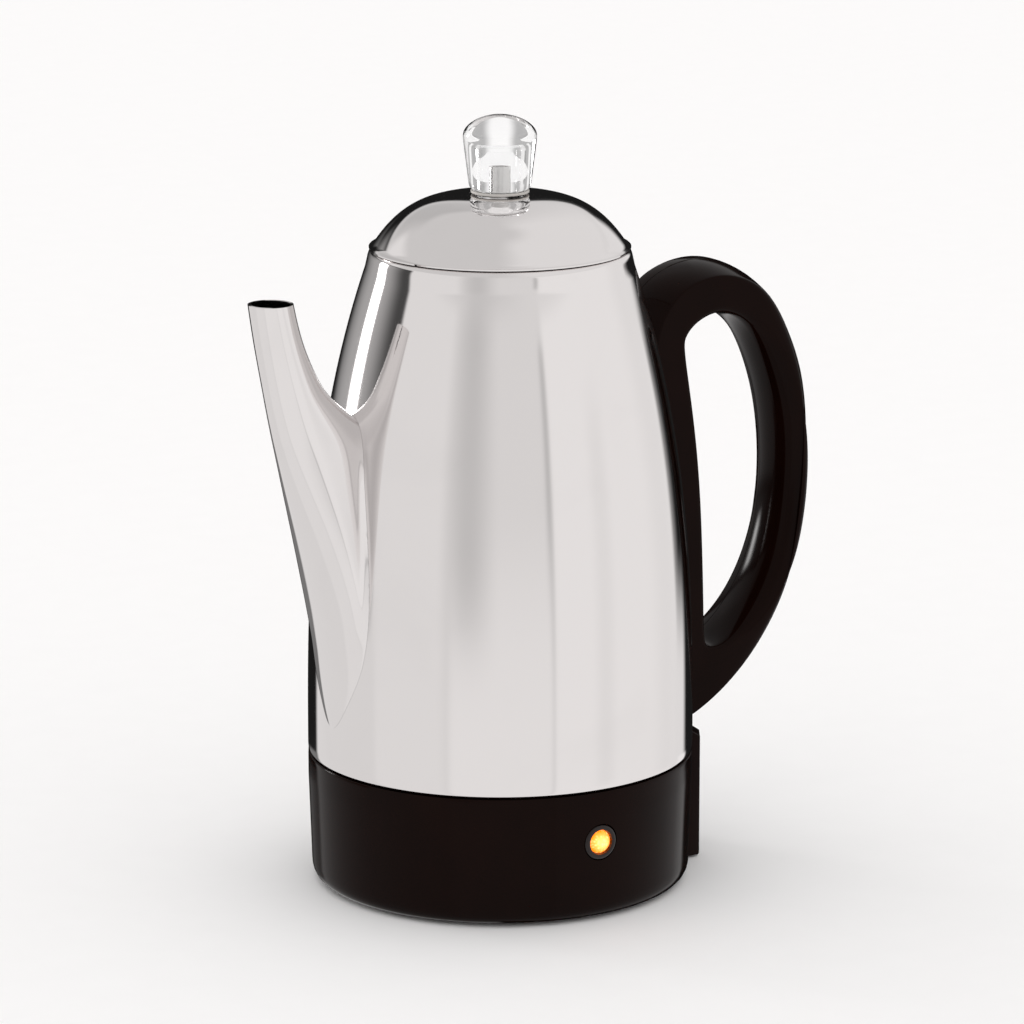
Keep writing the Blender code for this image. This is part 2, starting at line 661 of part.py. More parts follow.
def knob():
    outer = [(0.0, KNOB_TOP_Z), (5.0, 299.8), (9.4, 298.4), (12.4, 296.3), (13.8, 294.2),
             (14.1, 292.4), (13.5, 287.0), (12.2, 276.6), (11.6, 271.8),
             (9.2, 271.8), (9.2, 265.6)]
    inner = [(7.6, 265.6), (7.9, 279.0), (8.2, 288.6), (0.0, 290.2)]
    cap = link_part(turned("knob", outer + inner, 28, closed=False), "clear")
    for side in (-1, 1):
        x = sorted((side * 8.2, side * 11.4))
        join(cap, box("knob_lug_%d" % side, (x[0], -2.6, 266.2), (x[1], 2.6, 268.6)))
    seal = [(11.4, 271.5), (11.4, 270.4), (9.6, 270.4), (9.6, 271.5)]
    link_part(turned("knob_seal", seal, STEPS_SMALL), "silicone")


clear_scene()
PARTS = new_collection("coffee_percolator")
CUTTERS = new_collection("cutters")
POT_CUTTER = pot_cutter()
pot_body()
spout()
base_skirt()
bottom_cover()
cover_screws()
indicator()
inlet()
clamp_bar()
heating_well()
heater()
thermal_cutouts()
wiring()
handle()
pump()
basket()
spreader()
lid()
knob()
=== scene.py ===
"""Looks of an electric coffee percolator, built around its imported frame.

Laid out as a Blender add-on: property groups hold the sizes and colours, one operator builds
each piece or group of like pieces, and a sidebar panel lists them. Lengths in the shape tables
are millimetres until scaled by MM. The pot's axis is +Z and the table is z = 0; the spout points
along -X, the handle along +X and the indicator lamp along -Y.
"""

from math import cos, pi, radians, sin, sqrt

import bmesh
import bpy
from bpy.props import FloatProperty, FloatVectorProperty, IntProperty, PointerProperty
from mathutils import Matrix, Vector


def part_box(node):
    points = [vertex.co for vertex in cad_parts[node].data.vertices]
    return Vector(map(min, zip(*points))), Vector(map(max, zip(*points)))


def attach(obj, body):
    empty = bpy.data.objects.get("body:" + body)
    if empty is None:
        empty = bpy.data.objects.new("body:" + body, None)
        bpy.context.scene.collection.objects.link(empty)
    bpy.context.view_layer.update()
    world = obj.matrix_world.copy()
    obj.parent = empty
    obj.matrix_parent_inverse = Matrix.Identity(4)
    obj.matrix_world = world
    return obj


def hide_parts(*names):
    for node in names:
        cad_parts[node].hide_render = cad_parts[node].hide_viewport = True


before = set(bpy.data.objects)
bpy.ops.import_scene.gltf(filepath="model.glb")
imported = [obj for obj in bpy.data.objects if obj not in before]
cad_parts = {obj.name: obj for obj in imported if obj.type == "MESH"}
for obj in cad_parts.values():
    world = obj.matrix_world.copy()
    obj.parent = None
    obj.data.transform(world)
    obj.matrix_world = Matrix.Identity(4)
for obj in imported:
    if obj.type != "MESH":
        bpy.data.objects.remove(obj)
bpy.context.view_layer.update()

bl_info = {
    "name": "Coffee Percolator",
    "version": (1, 0, 0),
    "blender": (4, 5, 0),
    "location": "3D View > Sidebar > Percolator",
    "description": "Builds the pieces, finishes and studio of an electric coffee percolator",
    "category": "Add Mesh",
}

MM = 0.001
WELD = 0.000001             # distance at which doubled points merge
DEGREES = 180.0 / pi        # degrees in a radian
SMOOTH_ANGLE = radians(32)
CORNER_SEGMENTS = 5         # steps of a rounded corner in a turned profile
WALL_TRIM = 0.04            # gap between the spout's trimmed edge and the pot's wall
HALF_GAP = 0.15             # each half of the handle stops this far from the joint
POT_GAP = 0.3               # gap between the handle's strap and the pot's wall


def length(name, description, millimetres):
    return FloatProperty(name=name, description=description, default=millimetres * MM,
                         precision=5, subtype="DISTANCE", unit="LENGTH")


def colour(name, description, value):
    return FloatVectorProperty(name=name, description=description, default=value, size=3,
                               min=0.0, max=1.0, subtype="COLOR")


def share(name, description, value, top=1.0):
    return FloatProperty(name=name, description=description, default=value, min=0.0, max=top)


def cad_high(node, axis):
    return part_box(node)[1][axis] / MM


class PercolatorPotSizes(bpy.types.PropertyGroup):
    foot_radius: length("Foot radius", "Widest radius of the steel pot", 75.05)
    foot_height: length("Foot height", "Height of the pot's floor above the table", 51.5)
    shoulder_radius: length("Shoulder radius", "Radius where the shoulder rolls in", 51.65)
    shoulder_height: length("Shoulder height", "Height where the shoulder rolls in", 242.0)
    taper: share("Taper", "How late the wall draws in on its way up", 2.73, 8.0)
    mouth_height: length("Mouth height", "Top of the pot's rim", cad_high("pot_body", 2))
    wall: length("Wall", "Thickness of the pot's steel", 0.8)
    spout_wall: length("Spout wall", "Thickness of the spout's steel", 0.8)
    weld_fillet: length("Weld fillet", "Reach of the flare where the spout meets the pot", 3.2)


class PercolatorLidSizes(bpy.types.PropertyGroup):
    lip_radius: length("Lip radius", "Radius of the dome at its lip", 49.3)
    lip_height: length("Lip height", "Height of the dome's lip", 249.3)
    rise: length("Rise", "Height of the dome above its lip", 20.6)
    roundness: share("Roundness", "How late the dome falls away from its middle", 3.8, 8.0)
    knob_height: length("Knob height", "Top of the clear knob", cad_high("knob", 2))


class PercolatorHandleSizes(bpy.types.PropertyGroup):
    strap_width: length("Strap width", "Half width of the handle along the pot", 12.3)
    grip_width: length("Grip width", "Half width of the handle at its grip", 16.7)
    parting: length("Parting", "Distance of the joint between its halves from the middle", 5.5)
    groove: length("Groove", "Width of the rounding on each side of the joint", 0.7)


class PercolatorBaseSizes(bpy.types.PropertyGroup):
    lamp_height: length("Lamp height", "Height of the indicator lamp", 31.5)
    pin_height: length("Pin height", "Height of the inlet's pins", 24.0)
    pin_spacing: length("Pin spacing", "Distance between the inlet's pins", 12.7)
    screw_circle: length("Screw circle", "Radius of the circle of cover screws", 53.0)


class PercolatorFinishes(bpy.types.PropertyGroup):
    steel: colour("Polished steel", "Tint of the polished outside", (0.83, 0.805, 0.80))
    spun_steel: colour("Spun steel", "Tint of the turned inner pieces", (0.70, 0.69, 0.68))
    zinc: colour("Zinc", "Tint of plated screws, nuts and pins", (0.62, 0.61, 0.58))
    plastic: colour("Plastic", "Brown-black of the handle and base", (0.0058, 0.0016, 0.0009))
    clear: colour("Clear plastic", "Tint of the knob", (0.985, 0.988, 0.99))
    amber: colour("Amber", "Tint of the indicator lens", (1.0, 0.30, 0.02))
    silicone: colour("Silicone", "Colour of the seals", (0.62, 0.60, 0.57))
    live: colour("Live wire", "Insulation of the live wires", (0.42, 0.025, 0.018))
    neutral: colour("Neutral wire", "Insulation of the neutral wires", (0.74, 0.72, 0.68))
    lamp_glow: share("Lamp glow", "Strength of the lit indicator lens", 1.6, 20.0)


class PercolatorStageSetup(bpy.types.PropertyGroup):
    camera_distance: length("Camera distance", "Distance of the camera from the axis", 1928.1)
    camera_height: length("Camera height", "Height of the camera", 604.8)
    camera_turn: FloatProperty(name="Camera turn", description="Camera's side, from the spout "
                               "towards the lamp", default=radians(59.2), subtype="ANGLE")
    camera_tilt: FloatProperty(name="Camera tilt", description="How far the camera looks down",
                               default=radians(13.41), subtype="ANGLE")
    camera_aim: FloatProperty(name="Camera aim", description="How far right of the axis it aims",
                              default=radians(0.136), subtype="ANGLE")
    camera_lens: FloatProperty(name="Camera lens", description="Focal length in millimetres",
                               default=180.2, min=1.0)
    floor: colour("Floor", "Colour of the floor", (0.93, 0.93, 0.93))
    steps: IntProperty(name="Steps", description="Steps of a turned piece", default=192, min=12)


# Meshes ---------------------------------------------------------------------------------------

def steps():
    return bpy.context.scene.percolator_stage.steps


def profile_wire(bm, profile, closed):
    """Adds a chain of (radius, z) points; a third number is the size of a rounded corner."""
    verts = [bm.verts.new((p[0] * MM, 0.0, p[1] * MM)) for p in profile]
    pairs = list(zip(verts, verts[1:]))
    if closed:
        pairs.append((verts[-1], verts[0]))
    for a, b in pairs:
        bm.edges.new((a, b))
    for vert, point in zip(verts, profile):
        if len(point) > 2:
            bmesh.ops.bevel(bm, geom=[vert], offset=point[2] * MM, offset_type="OFFSET",
                            segments=CORNER_SEGMENTS, profile=0.5, affect="VERTICES",
                            material=-1)


def tidy(bm):
    bmesh.ops.remove_doubles(bm, verts=bm.verts, dist=WELD)
    bmesh.ops.dissolve_degenerate(bm, edges=bm.edges, dist=WELD)
    bmesh.ops.recalc_face_normals(bm, faces=bm.faces)


def spun(profile, closed=False, count=None):
    """A bmesh of the profile turned around Z."""
    bm = bmesh.new()
    profile_wire(bm, profile, closed)
    bmesh.ops.spin(bm, geom=bm.verts[:] + bm.edges[:], cent=(0.0, 0.0, 0.0),
                   axis=(0.0, 0.0, 1.0), angle=2 * pi, steps=count or steps(),
                   use_merge=True)
    tidy(bm)
    return bm


def piece(name, bm):
    """Turns a bmesh into an object with its place in its mesh."""
    mesh = bpy.data.meshes.new(name)
    bm.to_mesh(mesh)
    bm.free()
    obj = bpy.data.objects.new(name, mesh)
    bpy.context.scene.collection.objects.link(obj)
    return obj


def settle(obj):
    """Applies the modifiers and smooths the shading between sharp edges."""
    if obj.modifiers:
        evaluated = obj.evaluated_get(bpy.context.evaluated_depsgraph_get())
        mesh = bpy.data.meshes.new_from_object(evaluated)
        obj.modifiers.clear()
        obj.data = mesh
    bm = bmesh.new()
    bm.from_mesh(obj.data)
    bmesh.ops.remove_doubles(bm, verts=bm.verts, dist=WELD)
    bmesh.ops.dissolve_degenerate(bm, edges=bm.edges, dist=WELD)
    bm.to_mesh(obj.data)
    bm.free()
    obj.data.shade_smooth()
    obj.data.set_sharp_from_angle(angle=SMOOTH_ANGLE)
    return obj


def walled(obj, thickness):
    shell = obj.modifiers.new("wall", "SOLIDIFY")
    shell.thickness = thickness
    shell.offset = -1.0
    shell.use_even_offset = True
    return settle(obj)


def rounded(obj, width, segments=3, angle=radians(40)):
    edge = obj.modifiers.new("edges", "BEVEL")
    edge.width = width * MM
    edge.segments = segments
    edge.limit_method = "ANGLE"
    edge.angle_limit = angle
    return settle(obj)


def combined(obj, others, operation):
    """Cuts or joins the other objects, then removes them."""
    for other in others:
        mod = obj.modifiers.new("cut", "BOOLEAN")
        mod.operation = operation
        mod.object = other
        mod.solver = "EXACT"
    settle(obj)
    for other in others:
        bpy.data.objects.remove(other)
    return obj


def rod(centre, radius, depth, axis="Z", segments=32):
    """A cylinder's bmesh, centred on a point in millimetres, along X, Y or Z."""
    turn = {"X": Matrix.Rotation(pi / 2, 4, "Y"), "Y": Matrix.Rotation(pi / 2, 4, "X"),
            "Z": Matrix.Identity(4)}[axis]
    bm = bmesh.new()
    place = Matrix.Translation(Vector(centre) * MM) @ turn
    bmesh.ops.create_cone(bm, cap_ends=True, segments=segments, radius1=radius * MM,
                          radius2=radius * MM, depth=depth * MM, matrix=place)
    return bm


def block(low, high):
    bm = bmesh.new()
    middle = (Vector(low) + Vector(high)) / 2 * MM
    size = (Vector(high) - Vector(low)) * MM
    place = Matrix.Translation(middle) @ Matrix.Diagonal((*size, 1.0))
    bmesh.ops.create_cube(bm, size=1.0, matrix=place)
    return bm


def moved(bm, matrix):
    bmesh.ops.transform(bm, matrix=matrix, verts=bm.verts)
    bmesh.ops.recalc_face_normals(bm, faces=bm.faces)
    return bm


def ring_edges(bm, points):
    """Adds a closed ring through the points and returns its edges."""
    made = bmesh.ops.create_circle(bm, segments=len(points), radius=1.0)["verts"]
    for vert, point in zip(made, points):
        vert.co = Vector(point) * MM
    return sorted({edge for vert in made for edge in vert.link_edges}, key=lambda e: e.index)


def lofted(rings, cyclic=False, caps=True):
    """A skin bridged over rings of equally many points."""
    bm = bmesh.new()
    loops = [ring_edges(bm, ring) for ring in rings]
    pairs = list(zip(loops, loops[1:]))
    if cyclic:
        pairs.append((loops[-1], loops[0]))
    for lower, upper in pairs:
        bmesh.ops.bridge_loops(bm, edges=lower + upper)
    if caps and not cyclic:
        bmesh.ops.holes_fill(bm, edges=[e for e in bm.edges if e.is_boundary], sides=0)
    tidy(bm)
    return bm


def blended(rows, per_span, cyclic=False):
    """Rows of numbers along a smooth B-spline that keeps close to the given ones."""
    count = len(rows)
    vectors = [list(row) for row in rows]

    def row_at(values, i):
        if cyclic:
            return values[i % count]
        if i < 0:
            return [2 * a - b for a, b in zip(values[0], values[1])]
        if i >= count:
            return [2 * a - b for a, b in zip(values[-1], values[-2])]
        return values[i]

    sharpened = []
    for i in range(count):
        before, here, after = (row_at(vectors, i + k) for k in (-1, 0, 1))
        sharpened.append([b - (a - 2 * b + c) / 6 for a, b, c in zip(before, here, after)])
    result = []
    for i in range(count if cyclic else count - 1):
        control = [row_at(sharpened, i + k) for k in (-1, 0, 1, 2)]
        for k in range(per_span):
            result.append(spline_row(control, k / per_span))
    if not cyclic:
        control = [row_at(sharpened, count - 2 + k) for k in (-1, 0, 1, 2)]
        result.append(spline_row(control, 1.0))
    return result


def spline_row(control, t):
    weights = ((1 - t) ** 3, 3 * t ** 3 - 6 * t * t + 4,
               -3 * t ** 3 + 3 * t * t + 3 * t + 1, t ** 3)
    return [sum(w * row[i] for w, row in zip(weights, control)) / 6
            for i in range(len(control[0]))]


def shown(obj, finish, body, stands_for):
    """Gives a piece its material and its body, and hides the nodes that it stands for."""
    obj.data.materials.clear()
    obj.data.materials.append(finish_material(finish))
    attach(obj, body)
    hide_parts(*stands_for)


# Finishes -------------------------------------------------------------------------------------

# A finish is the material slot of the same name, apart from these.
MIX_VALUES = (2, 3)         # a Mix node's inputs A and B for values
MIX_COLOURS = (6, 7)        # and for colours
MIX_COLOUR_RESULT = 2       # its output for colours


def feed(tree, socket, value):
    """Links a socket to an input, or sets the input to a constant."""
    if isinstance(value, bpy.types.NodeSocket):
        tree.links.new(value, socket)
    else:
        socket.default_value = value


def node(tree, kind, inputs=None, **settings):
    """Adds a shader node; inputs are constants, or sockets to link from."""
    made = tree.nodes.new(kind)
    for key, value in settings.items():
        setattr(made, key, value)
    for key, value in (inputs or {}).items():
        feed(tree, made.inputs[key], value)
    return made


def group_tree(name, inputs, outputs):
    """A new shader group and its input and output nodes."""
    group = bpy.data.node_groups.new(name, "ShaderNodeTree")
    for direction, sockets in (("INPUT", inputs), ("OUTPUT", outputs)):
        for socket, kind in sockets:
            group.interface.new_socket(socket, in_out=direction, socket_type=kind)
    return group, node(group, "NodeGroupInput"), node(group, "NodeGroupOutput")


def maths(tree, operation, *values):
    made = tree.nodes.new("ShaderNodeMath")
    made.operation = operation
    for socket, value in zip(made.inputs, values):
        feed(tree, socket, value)
    return made.outputs[0]


def smooth_step(tree, value, low, high):
    made = node(tree, "ShaderNodeMapRange", {"Value": value, "From Min": low, "From Max": high},
                interpolation_type="SMOOTHSTEP", clamp=True)
    return made.outputs["Result"]


def turning_lines_group():
    """Fine rings that a lathe or a polishing mop leaves around the Z axis."""
    group, given, result = group_tree(
        "turning_lines", [("Vector", "NodeSocketVector"), ("Spacing", "NodeSocketFloat")],
        [("Height", "NodeSocketFloat")])
    parts = node(group, "ShaderNodeSeparateXYZ", {"Vector": given.outputs["Vector"]})
    x, y, z = parts.outputs
    radius = maths(group, "SQRT", maths(group, "ADD", maths(group, "MULTIPLY", x, x),
                                        maths(group, "MULTIPLY", y, y)))
    along = maths(group, "DIVIDE", maths(group, "ADD", radius, z), given.outputs["Spacing"])
    across = maths(group, "DIVIDE", maths(group, "SUBTRACT", radius, z),
                   given.outputs["Spacing"])
    place = node(group, "ShaderNodeCombineXYZ", {"X": along, "Y": across})
    noise = node(group, "ShaderNodeTexNoise", {"Vector": place.outputs[0], "Scale": 1.0,
                                               "Detail": 3.0, "Roughness": 0.6})
    group.links.new(noise.outputs["Fac"], result.inputs["Height"])
    return group


def handling_marks_group():
    """Soft smudges where fingers and cloths have been."""
    group, given, result = group_tree(
        "handling_marks", [("Vector", "NodeSocketVector"), ("Scale", "NodeSocketFloat")],
        [("Mask", "NodeSocketFloat")])
    noise = node(group, "ShaderNodeTexNoise", {"Vector": given.outputs["Vector"],
                                               "Scale": given.outputs["Scale"],
                                               "Detail": 5.0, "Distortion": 0.6})
    mask = smooth_step(group, noise.outputs["Fac"], 0.48, 0.78)
    group.links.new(mask, result.inputs["Mask"])
    return group


def moulded_grain_group():
    """The faint orange peel of moulded plastic, and its slow change of tone."""
    group, given, result = group_tree(
        "moulded_grain", [("Vector", "NodeSocketVector"), ("Scale", "NodeSocketFloat")],
        [("Height", "NodeSocketFloat"), ("Tone", "NodeSocketFloat")])
    fine = node(group, "ShaderNodeTexNoise", {"Vector": given.outputs["Vector"],
                                              "Scale": given.outputs["Scale"], "Detail": 2.0})
    slow = node(group, "ShaderNodeTexNoise", {"Vector": given.outputs["Vector"],
                                              "Scale": 35.0, "Detail": 3.0})
    group.links.new(fine.outputs["Fac"], result.inputs["Height"])
    group.links.new(smooth_step(group, slow.outputs["Fac"], 0.3, 0.7), result.inputs["Tone"])
    return group


def edge_wear_group():
    """Convex edges, broken up, where a finish rubs first."""
    group, given, result = group_tree(
        "edge_wear", [("Vector", "NodeSocketVector"), ("Amount", "NodeSocketFloat")],
        [("Mask", "NodeSocketFloat")])
    shape = node(group, "ShaderNodeNewGeometry")
    edge = smooth_step(group, shape.outputs["Pointiness"], 0.53, 0.60)
    noise = node(group, "ShaderNodeTexNoise", {"Vector": given.outputs["Vector"],
                                               "Scale": 400.0, "Detail": 4.0})
    broken = maths(group, "MULTIPLY", edge, smooth_step(group, noise.outputs["Fac"], 0.35, 0.7))
    mask = maths(group, "MULTIPLY", broken, given.outputs["Amount"])
    group.links.new(mask, result.inputs["Mask"])
    return group


GROUP_MAKERS = {
    "turning_lines": turning_lines_group,
    "handling_marks": handling_marks_group,
    "moulded_grain": moulded_grain_group,
    "edge_wear": edge_wear_group,
}


def effect(tree, name, inputs):
    """Places a shared effect group in a material."""
    group = bpy.data.node_groups.get(name) or GROUP_MAKERS[name]()
    made = tree.nodes.new("ShaderNodeGroup")
    made.node_tree = group
    set_inputs(tree, made, inputs)
    return made.outputs


def mixed(tree, factor, first, second):
    made = node(tree, "ShaderNodeMix", {"Factor": factor}, data_type="RGBA")
    for key, value in zip(MIX_COLOURS, (first, second)):
        is_link = isinstance(value, bpy.types.NodeSocket)
        feed(tree, made.inputs[key], value if is_link else (*value, 1.0))
    return made.outputs[MIX_COLOUR_RESULT]


def mixed_value(tree, factor, first, second):
    low, high = MIX_VALUES
    made = node(tree, "ShaderNodeMix", {"Factor": factor, low: first, high: second},
                data_type="FLOAT")
    return made.outputs[0]


def bump(tree, height, strength, distance):
    made = node(tree, "ShaderNodeBump", {"Height": height, "Strength": strength,
                                         "Distance": distance * MM})
    return made.outputs["Normal"]


def blank_material(name):
    mat = bpy.data.materials.new(name)
    mat.use_nodes = True
    tree = mat.node_tree
    shader = tree.nodes["Principled BSDF"]
    place = node(tree, "ShaderNodeTexCoord").outputs["Object"]
    return mat, tree, shader, place


def set_inputs(tree, shader, values):
    for key, value in values.items():
        feed(tree, shader.inputs[key], value)


def shades(value, factor):
    return tuple(min(1.0, channel * factor) for channel in value)


def steel_material(name, tint, roughness, spacing, relief, marks=0.04):
    """Polished or spun steel with turning lines, smudges and rubbed edges."""
    mat, tree, shader, place = blank_material(name)
    lines = effect(tree, "turning_lines", {"Vector": place, "Spacing": spacing * MM})["Height"]
    smudge = effect(tree, "handling_marks", {"Vector": place, "Scale": 22.0})["Mask"]
    rub = effect(tree, "edge_wear", {"Vector": place, "Amount": 1.0})["Mask"]
    rough = maths(tree, "MULTIPLY_ADD", smudge, marks, roughness)
    rough = maths(tree, "MULTIPLY_ADD", rub, 0.08, rough)
    set_inputs(tree, shader, {
        "Base Color": mixed(tree, maths(tree, "MULTIPLY", smudge, 0.35), tint,
                            shades(tint, 0.94)),
        "Metallic": 1.0,
        "Roughness": rough,
        "Normal": bump(tree, lines, relief, 0.02),
    })
    return mat


def plastic_material(name, tint, roughness, specular):
    """Moulded plastic: faint orange peel, slow tone, scuffed edges."""
    mat, tree, shader, place = blank_material(name)
    grained = effect(tree, "moulded_grain", {"Vector": place, "Scale": 900.0})
    smudge = effect(tree, "handling_marks", {"Vector": place, "Scale": 30.0})["Mask"]
    rub = effect(tree, "edge_wear", {"Vector": place, "Amount": 0.5})["Mask"]
    base = mixed(tree, grained["Tone"], shades(tint, 0.9), shades(tint, 1.15))
    rough = maths(tree, "MULTIPLY_ADD", smudge, 0.05, roughness)
    rough = maths(tree, "MULTIPLY_ADD", rub, 0.15, rough)
    set_inputs(tree, shader, {
        "Base Color": mixed(tree, rub, base, shades(tint, 1.8)),
        "Roughness": rough,
        "Specular IOR Level": specular,
        "Normal": bump(tree, grained["Height"], 0.06, 0.02),
    })
    return mat


def zinc_material(name, tint):
    """Plated steel with the spangle of its zinc."""
    mat, tree, shader, place = blank_material(name)
    spangle = node(tree, "ShaderNodeTexVoronoi", {"Vector": place, "Scale": 700.0})
    tone = node(tree, "ShaderNodeSeparateColor", {"Color": spangle.outputs["Color"]})
    grey = tone.outputs["Red"]
    rub = effect(tree, "edge_wear", {"Vector": place, "Amount": 1.0})["Mask"]
    rough = maths(tree, "MULTIPLY_ADD", grey, 0.14, 0.30)
    set_inputs(tree, shader, {
        "Base Color": mixed(tree, maths(tree, "MAXIMUM", rub, maths(tree, "MULTIPLY", grey, 0.5)),
                            shades(tint, 0.9), shades(tint, 1.15)),
        "Metallic": 1.0,
        "Roughness": rough,
        "Normal": bump(tree, spangle.outputs["Distance"], 0.15, 0.02),
    })
    return mat


def clear_material(name, tint):
    """Clear plastic with a trace of wear."""
    mat, tree, shader, place = blank_material(name)
    smudge = effect(tree, "handling_marks", {"Vector": place, "Scale": 120.0})["Mask"]
    grained = effect(tree, "moulded_grain", {"Vector": place, "Scale": 260.0})
    set_inputs(tree, shader, {
        "Base Color": mixed(tree, smudge, tint, shades(tint, 0.985)),
        "Roughness": maths(tree, "MULTIPLY_ADD", smudge, 0.02, 0.0),
        "IOR": 1.49,
        "Transmission Weight": 1.0,
        "Normal": bump(tree, grained["Height"], 0.02, 0.02),
    })
    return mat


def amber_material(name, tint, glow):
    """Lit lens: pale at its middle, deep amber at its rim, with moulded facets."""
    mat, tree, shader, place = blank_material(name)
    lamp_z = bpy.context.scene.percolator_base.lamp_height
    centred = node(tree, "ShaderNodeMapping", {"Vector": place, "Location": (0.0, 0.0, -lamp_z),
                                               "Scale": (1.0, 0.0, 1.0)})
    away = node(tree, "ShaderNodeVectorMath", {0: centred.outputs[0]}, operation="LENGTH")
    facets = node(tree, "ShaderNodeTexVoronoi", {"Vector": centred.outputs[0],
                                                 "Scale": 900.0})
    speck = smooth_step(tree, facets.outputs["Distance"], 0.62, 0.1)
    rim = smooth_step(tree, away.outputs["Value"], 0.6 * MM, 4.3 * MM)
    glowing = mixed(tree, rim, (1.0, 0.52, 0.16), (0.80, 0.16, 0.004))
    lit = mixed(tree, maths(tree, "MULTIPLY", speck, 0.45), glowing, (1.0, 0.72, 0.36))
    set_inputs(tree, shader, {
        "Base Color": mixed(tree, rim, tint, shades(tint, 0.7)),
        "Roughness": maths(tree, "MULTIPLY_ADD", speck, 0.10, 0.05),
        "IOR": 1.49,
        "Transmission Weight": 0.35,
        "Emission Color": lit,
        "Emission Strength": glow,
        "Normal": bump(tree, facets.outputs["Distance"], 0.25, 0.15),
    })
    return mat


def soft_material(name, tint, roughness):
    """Matt rubber, ceramic or wire insulation with a little dust."""
    mat, tree, shader, place = blank_material(name)
    grained = effect(tree, "moulded_grain", {"Vector": place, "Scale": 1500.0})
    dust = effect(tree, "handling_marks", {"Vector": place, "Scale": 90.0})["Mask"]
    base = mixed(tree, grained["Tone"], shades(tint, 0.9), shades(tint, 1.08))
    set_inputs(tree, shader, {
        "Base Color": mixed(tree, maths(tree, "MULTIPLY", dust, 0.3), base, (0.6, 0.58, 0.54)),
        "Roughness": maths(tree, "MULTIPLY_ADD", dust, 0.15, roughness),
        "Normal": bump(tree, grained["Height"], 0.12, 0.02),
    })
    return mat


def finish_material(name):
    made = bpy.data.materials.get("finish_" + name)
    if made:
        return made
    tints = bpy.context.scene.percolator_finishes
    full = "finish_" + name
    makers = {
        "polished_steel": lambda: steel_material(full, tints.steel, 0.055, 0.9, 0.05),
        "lid_steel": lambda: steel_material(full, tints.steel, 0.05, 0.9, 0.05),
        "spout_steel": lambda: steel_material(full, tints.steel, 0.06, 0.9, 0.04),
        "spun_steel": lambda: steel_material(full, tints.spun_steel, 0.22, 0.35, 0.35, 0.1),
        "zinc_steel": lambda: zinc_material(full, tints.zinc),
        "base_plastic": lambda: plastic_material(full, tints.plastic, 0.10, 0.06),
        "bezel_plastic": lambda: plastic_material(full, shades(tints.plastic, 1.2), 0.28, 0.4),
        "clear_plastic": lambda: clear_material(full, tints.clear),
        "amber_lens": lambda: amber_material(full, tints.amber, tints.lamp_glow),
        "silicone": lambda: soft_material(full, tints.silicone, 0.5),
        "lamp_glass": lambda: soft_material(full, (0.85, 0.82, 0.76), 0.35),
        "live_wire": lambda: soft_material(full, tints.live, 0.45),
        "neutral_wire": lambda: soft_material(full, tints.neutral, 0.45),
    }
    return makers[name]()


# Pot and spout --------------------------------------------------------------------------------

def pot_radius(z):
    """Outer radius of the pot's wall at a height, both in millimetres."""
    sizes = bpy.context.scene.percolator_pot
    foot, top = sizes.foot_height / MM, sizes.shoulder_height / MM
    rise = max(0.0, (z - foot) / (top - foot))
    drop = (sizes.foot_radius - sizes.shoulder_radius) / MM
    return sizes.foot_radius / MM - drop * rise ** sizes.taper


def wall_levels(low, high, spacing):
    count = max(1, round((high - low) / spacing))
    return [high - (high - low) * i / count for i in range(count + 1)]


STRAINER_Z = 150.0
STRAINER_PITCH = 8.0
STRAINER_HOLE_R = 2.4
WELL_HOLE_R = 16.4


def strainer_places():
    """Heights and sideways places of the holes behind the spout."""
    places = [(0.0, STRAINER_Z)]
    for k in range(6):
        angle = k * pi / 3
        places.append((STRAINER_PITCH * cos(angle), STRAINER_Z + STRAINER_PITCH * sin(angle)))
    return places


class PERCOLATOR_OT_pot(bpy.types.Operator):
    """Builds the polished steel pot with its strainer holes."""
    bl_idname = "percolator.pot"
    bl_label = "Pot"

    def execute(self, context):
        sizes = context.scene.percolator_pot
        mouth, floor = sizes.mouth_height / MM, sizes.foot_height / MM
        rim = [(48.9, mouth), (49.6, mouth - 0.3), (50.15, mouth - 1.0), (50.5, mouth - 1.9),
               (50.75, mouth - 2.8), (50.95, mouth - 3.8)]
        wall = [(pot_radius(z), z) for z in wall_levels(54.0, 242.0, 2.2)]
        foot = [(74.95, 52.6, 0.5), (73.9, floor, 0.5), (60.0, floor), (46.0, floor),
                (30.0, floor), (WELL_HOLE_R, floor)]
        pot = piece("pot_shell", spun(rim + wall + foot))
        walled(pot, sizes.wall)
        holes = [piece("hole", rod((-68.0, y, z), STRAINER_HOLE_R, 24.0, "X"))
                 for y, z in strainer_places()]
        combined(pot, holes, "DIFFERENCE")
        shown(pot, "polished_steel", "pot", ["pot_body"])
        return {"FINISHED"}


# Stations of the spout: height, nose x, widest x, half width, back x. Below the crotch the back
# lies inside the pot, where the wall trims it.
SPOUT_STATIONS = [
    (62.0, -70.5, -66.0, 6.0, -50.0),
    (68.0, -74.9, -68.0, 9.0, -50.0),
    (80.0, -76.2, -68.5, 14.5, -50.0),
    (92.0, -77.2, -69.5, 17.6, -50.0),
    (108.0, -79.3, -71.0, 19.9, -50.0),
    (125.0, -82.8, -73.5, 20.4, -50.0),
    (147.0, -88.6, -77.5, 18.2, -50.0),
    (162.0, -92.8, -80.5, 15.5, -50.0),
    (178.0, -97.0, -84.0, 12.4, -52.0),
    (188.0, -99.4, -87.0, 10.8, -62.5),
    (199.0, -101.7, -90.0, 9.8, -75.0),
    (207.5, -103.3, -92.4, 9.3, -80.9),
    (222.0, -106.0, -96.4, 8.9, -87.4),
    (237.0, -108.25, -99.65, 8.6, -91.05),
]


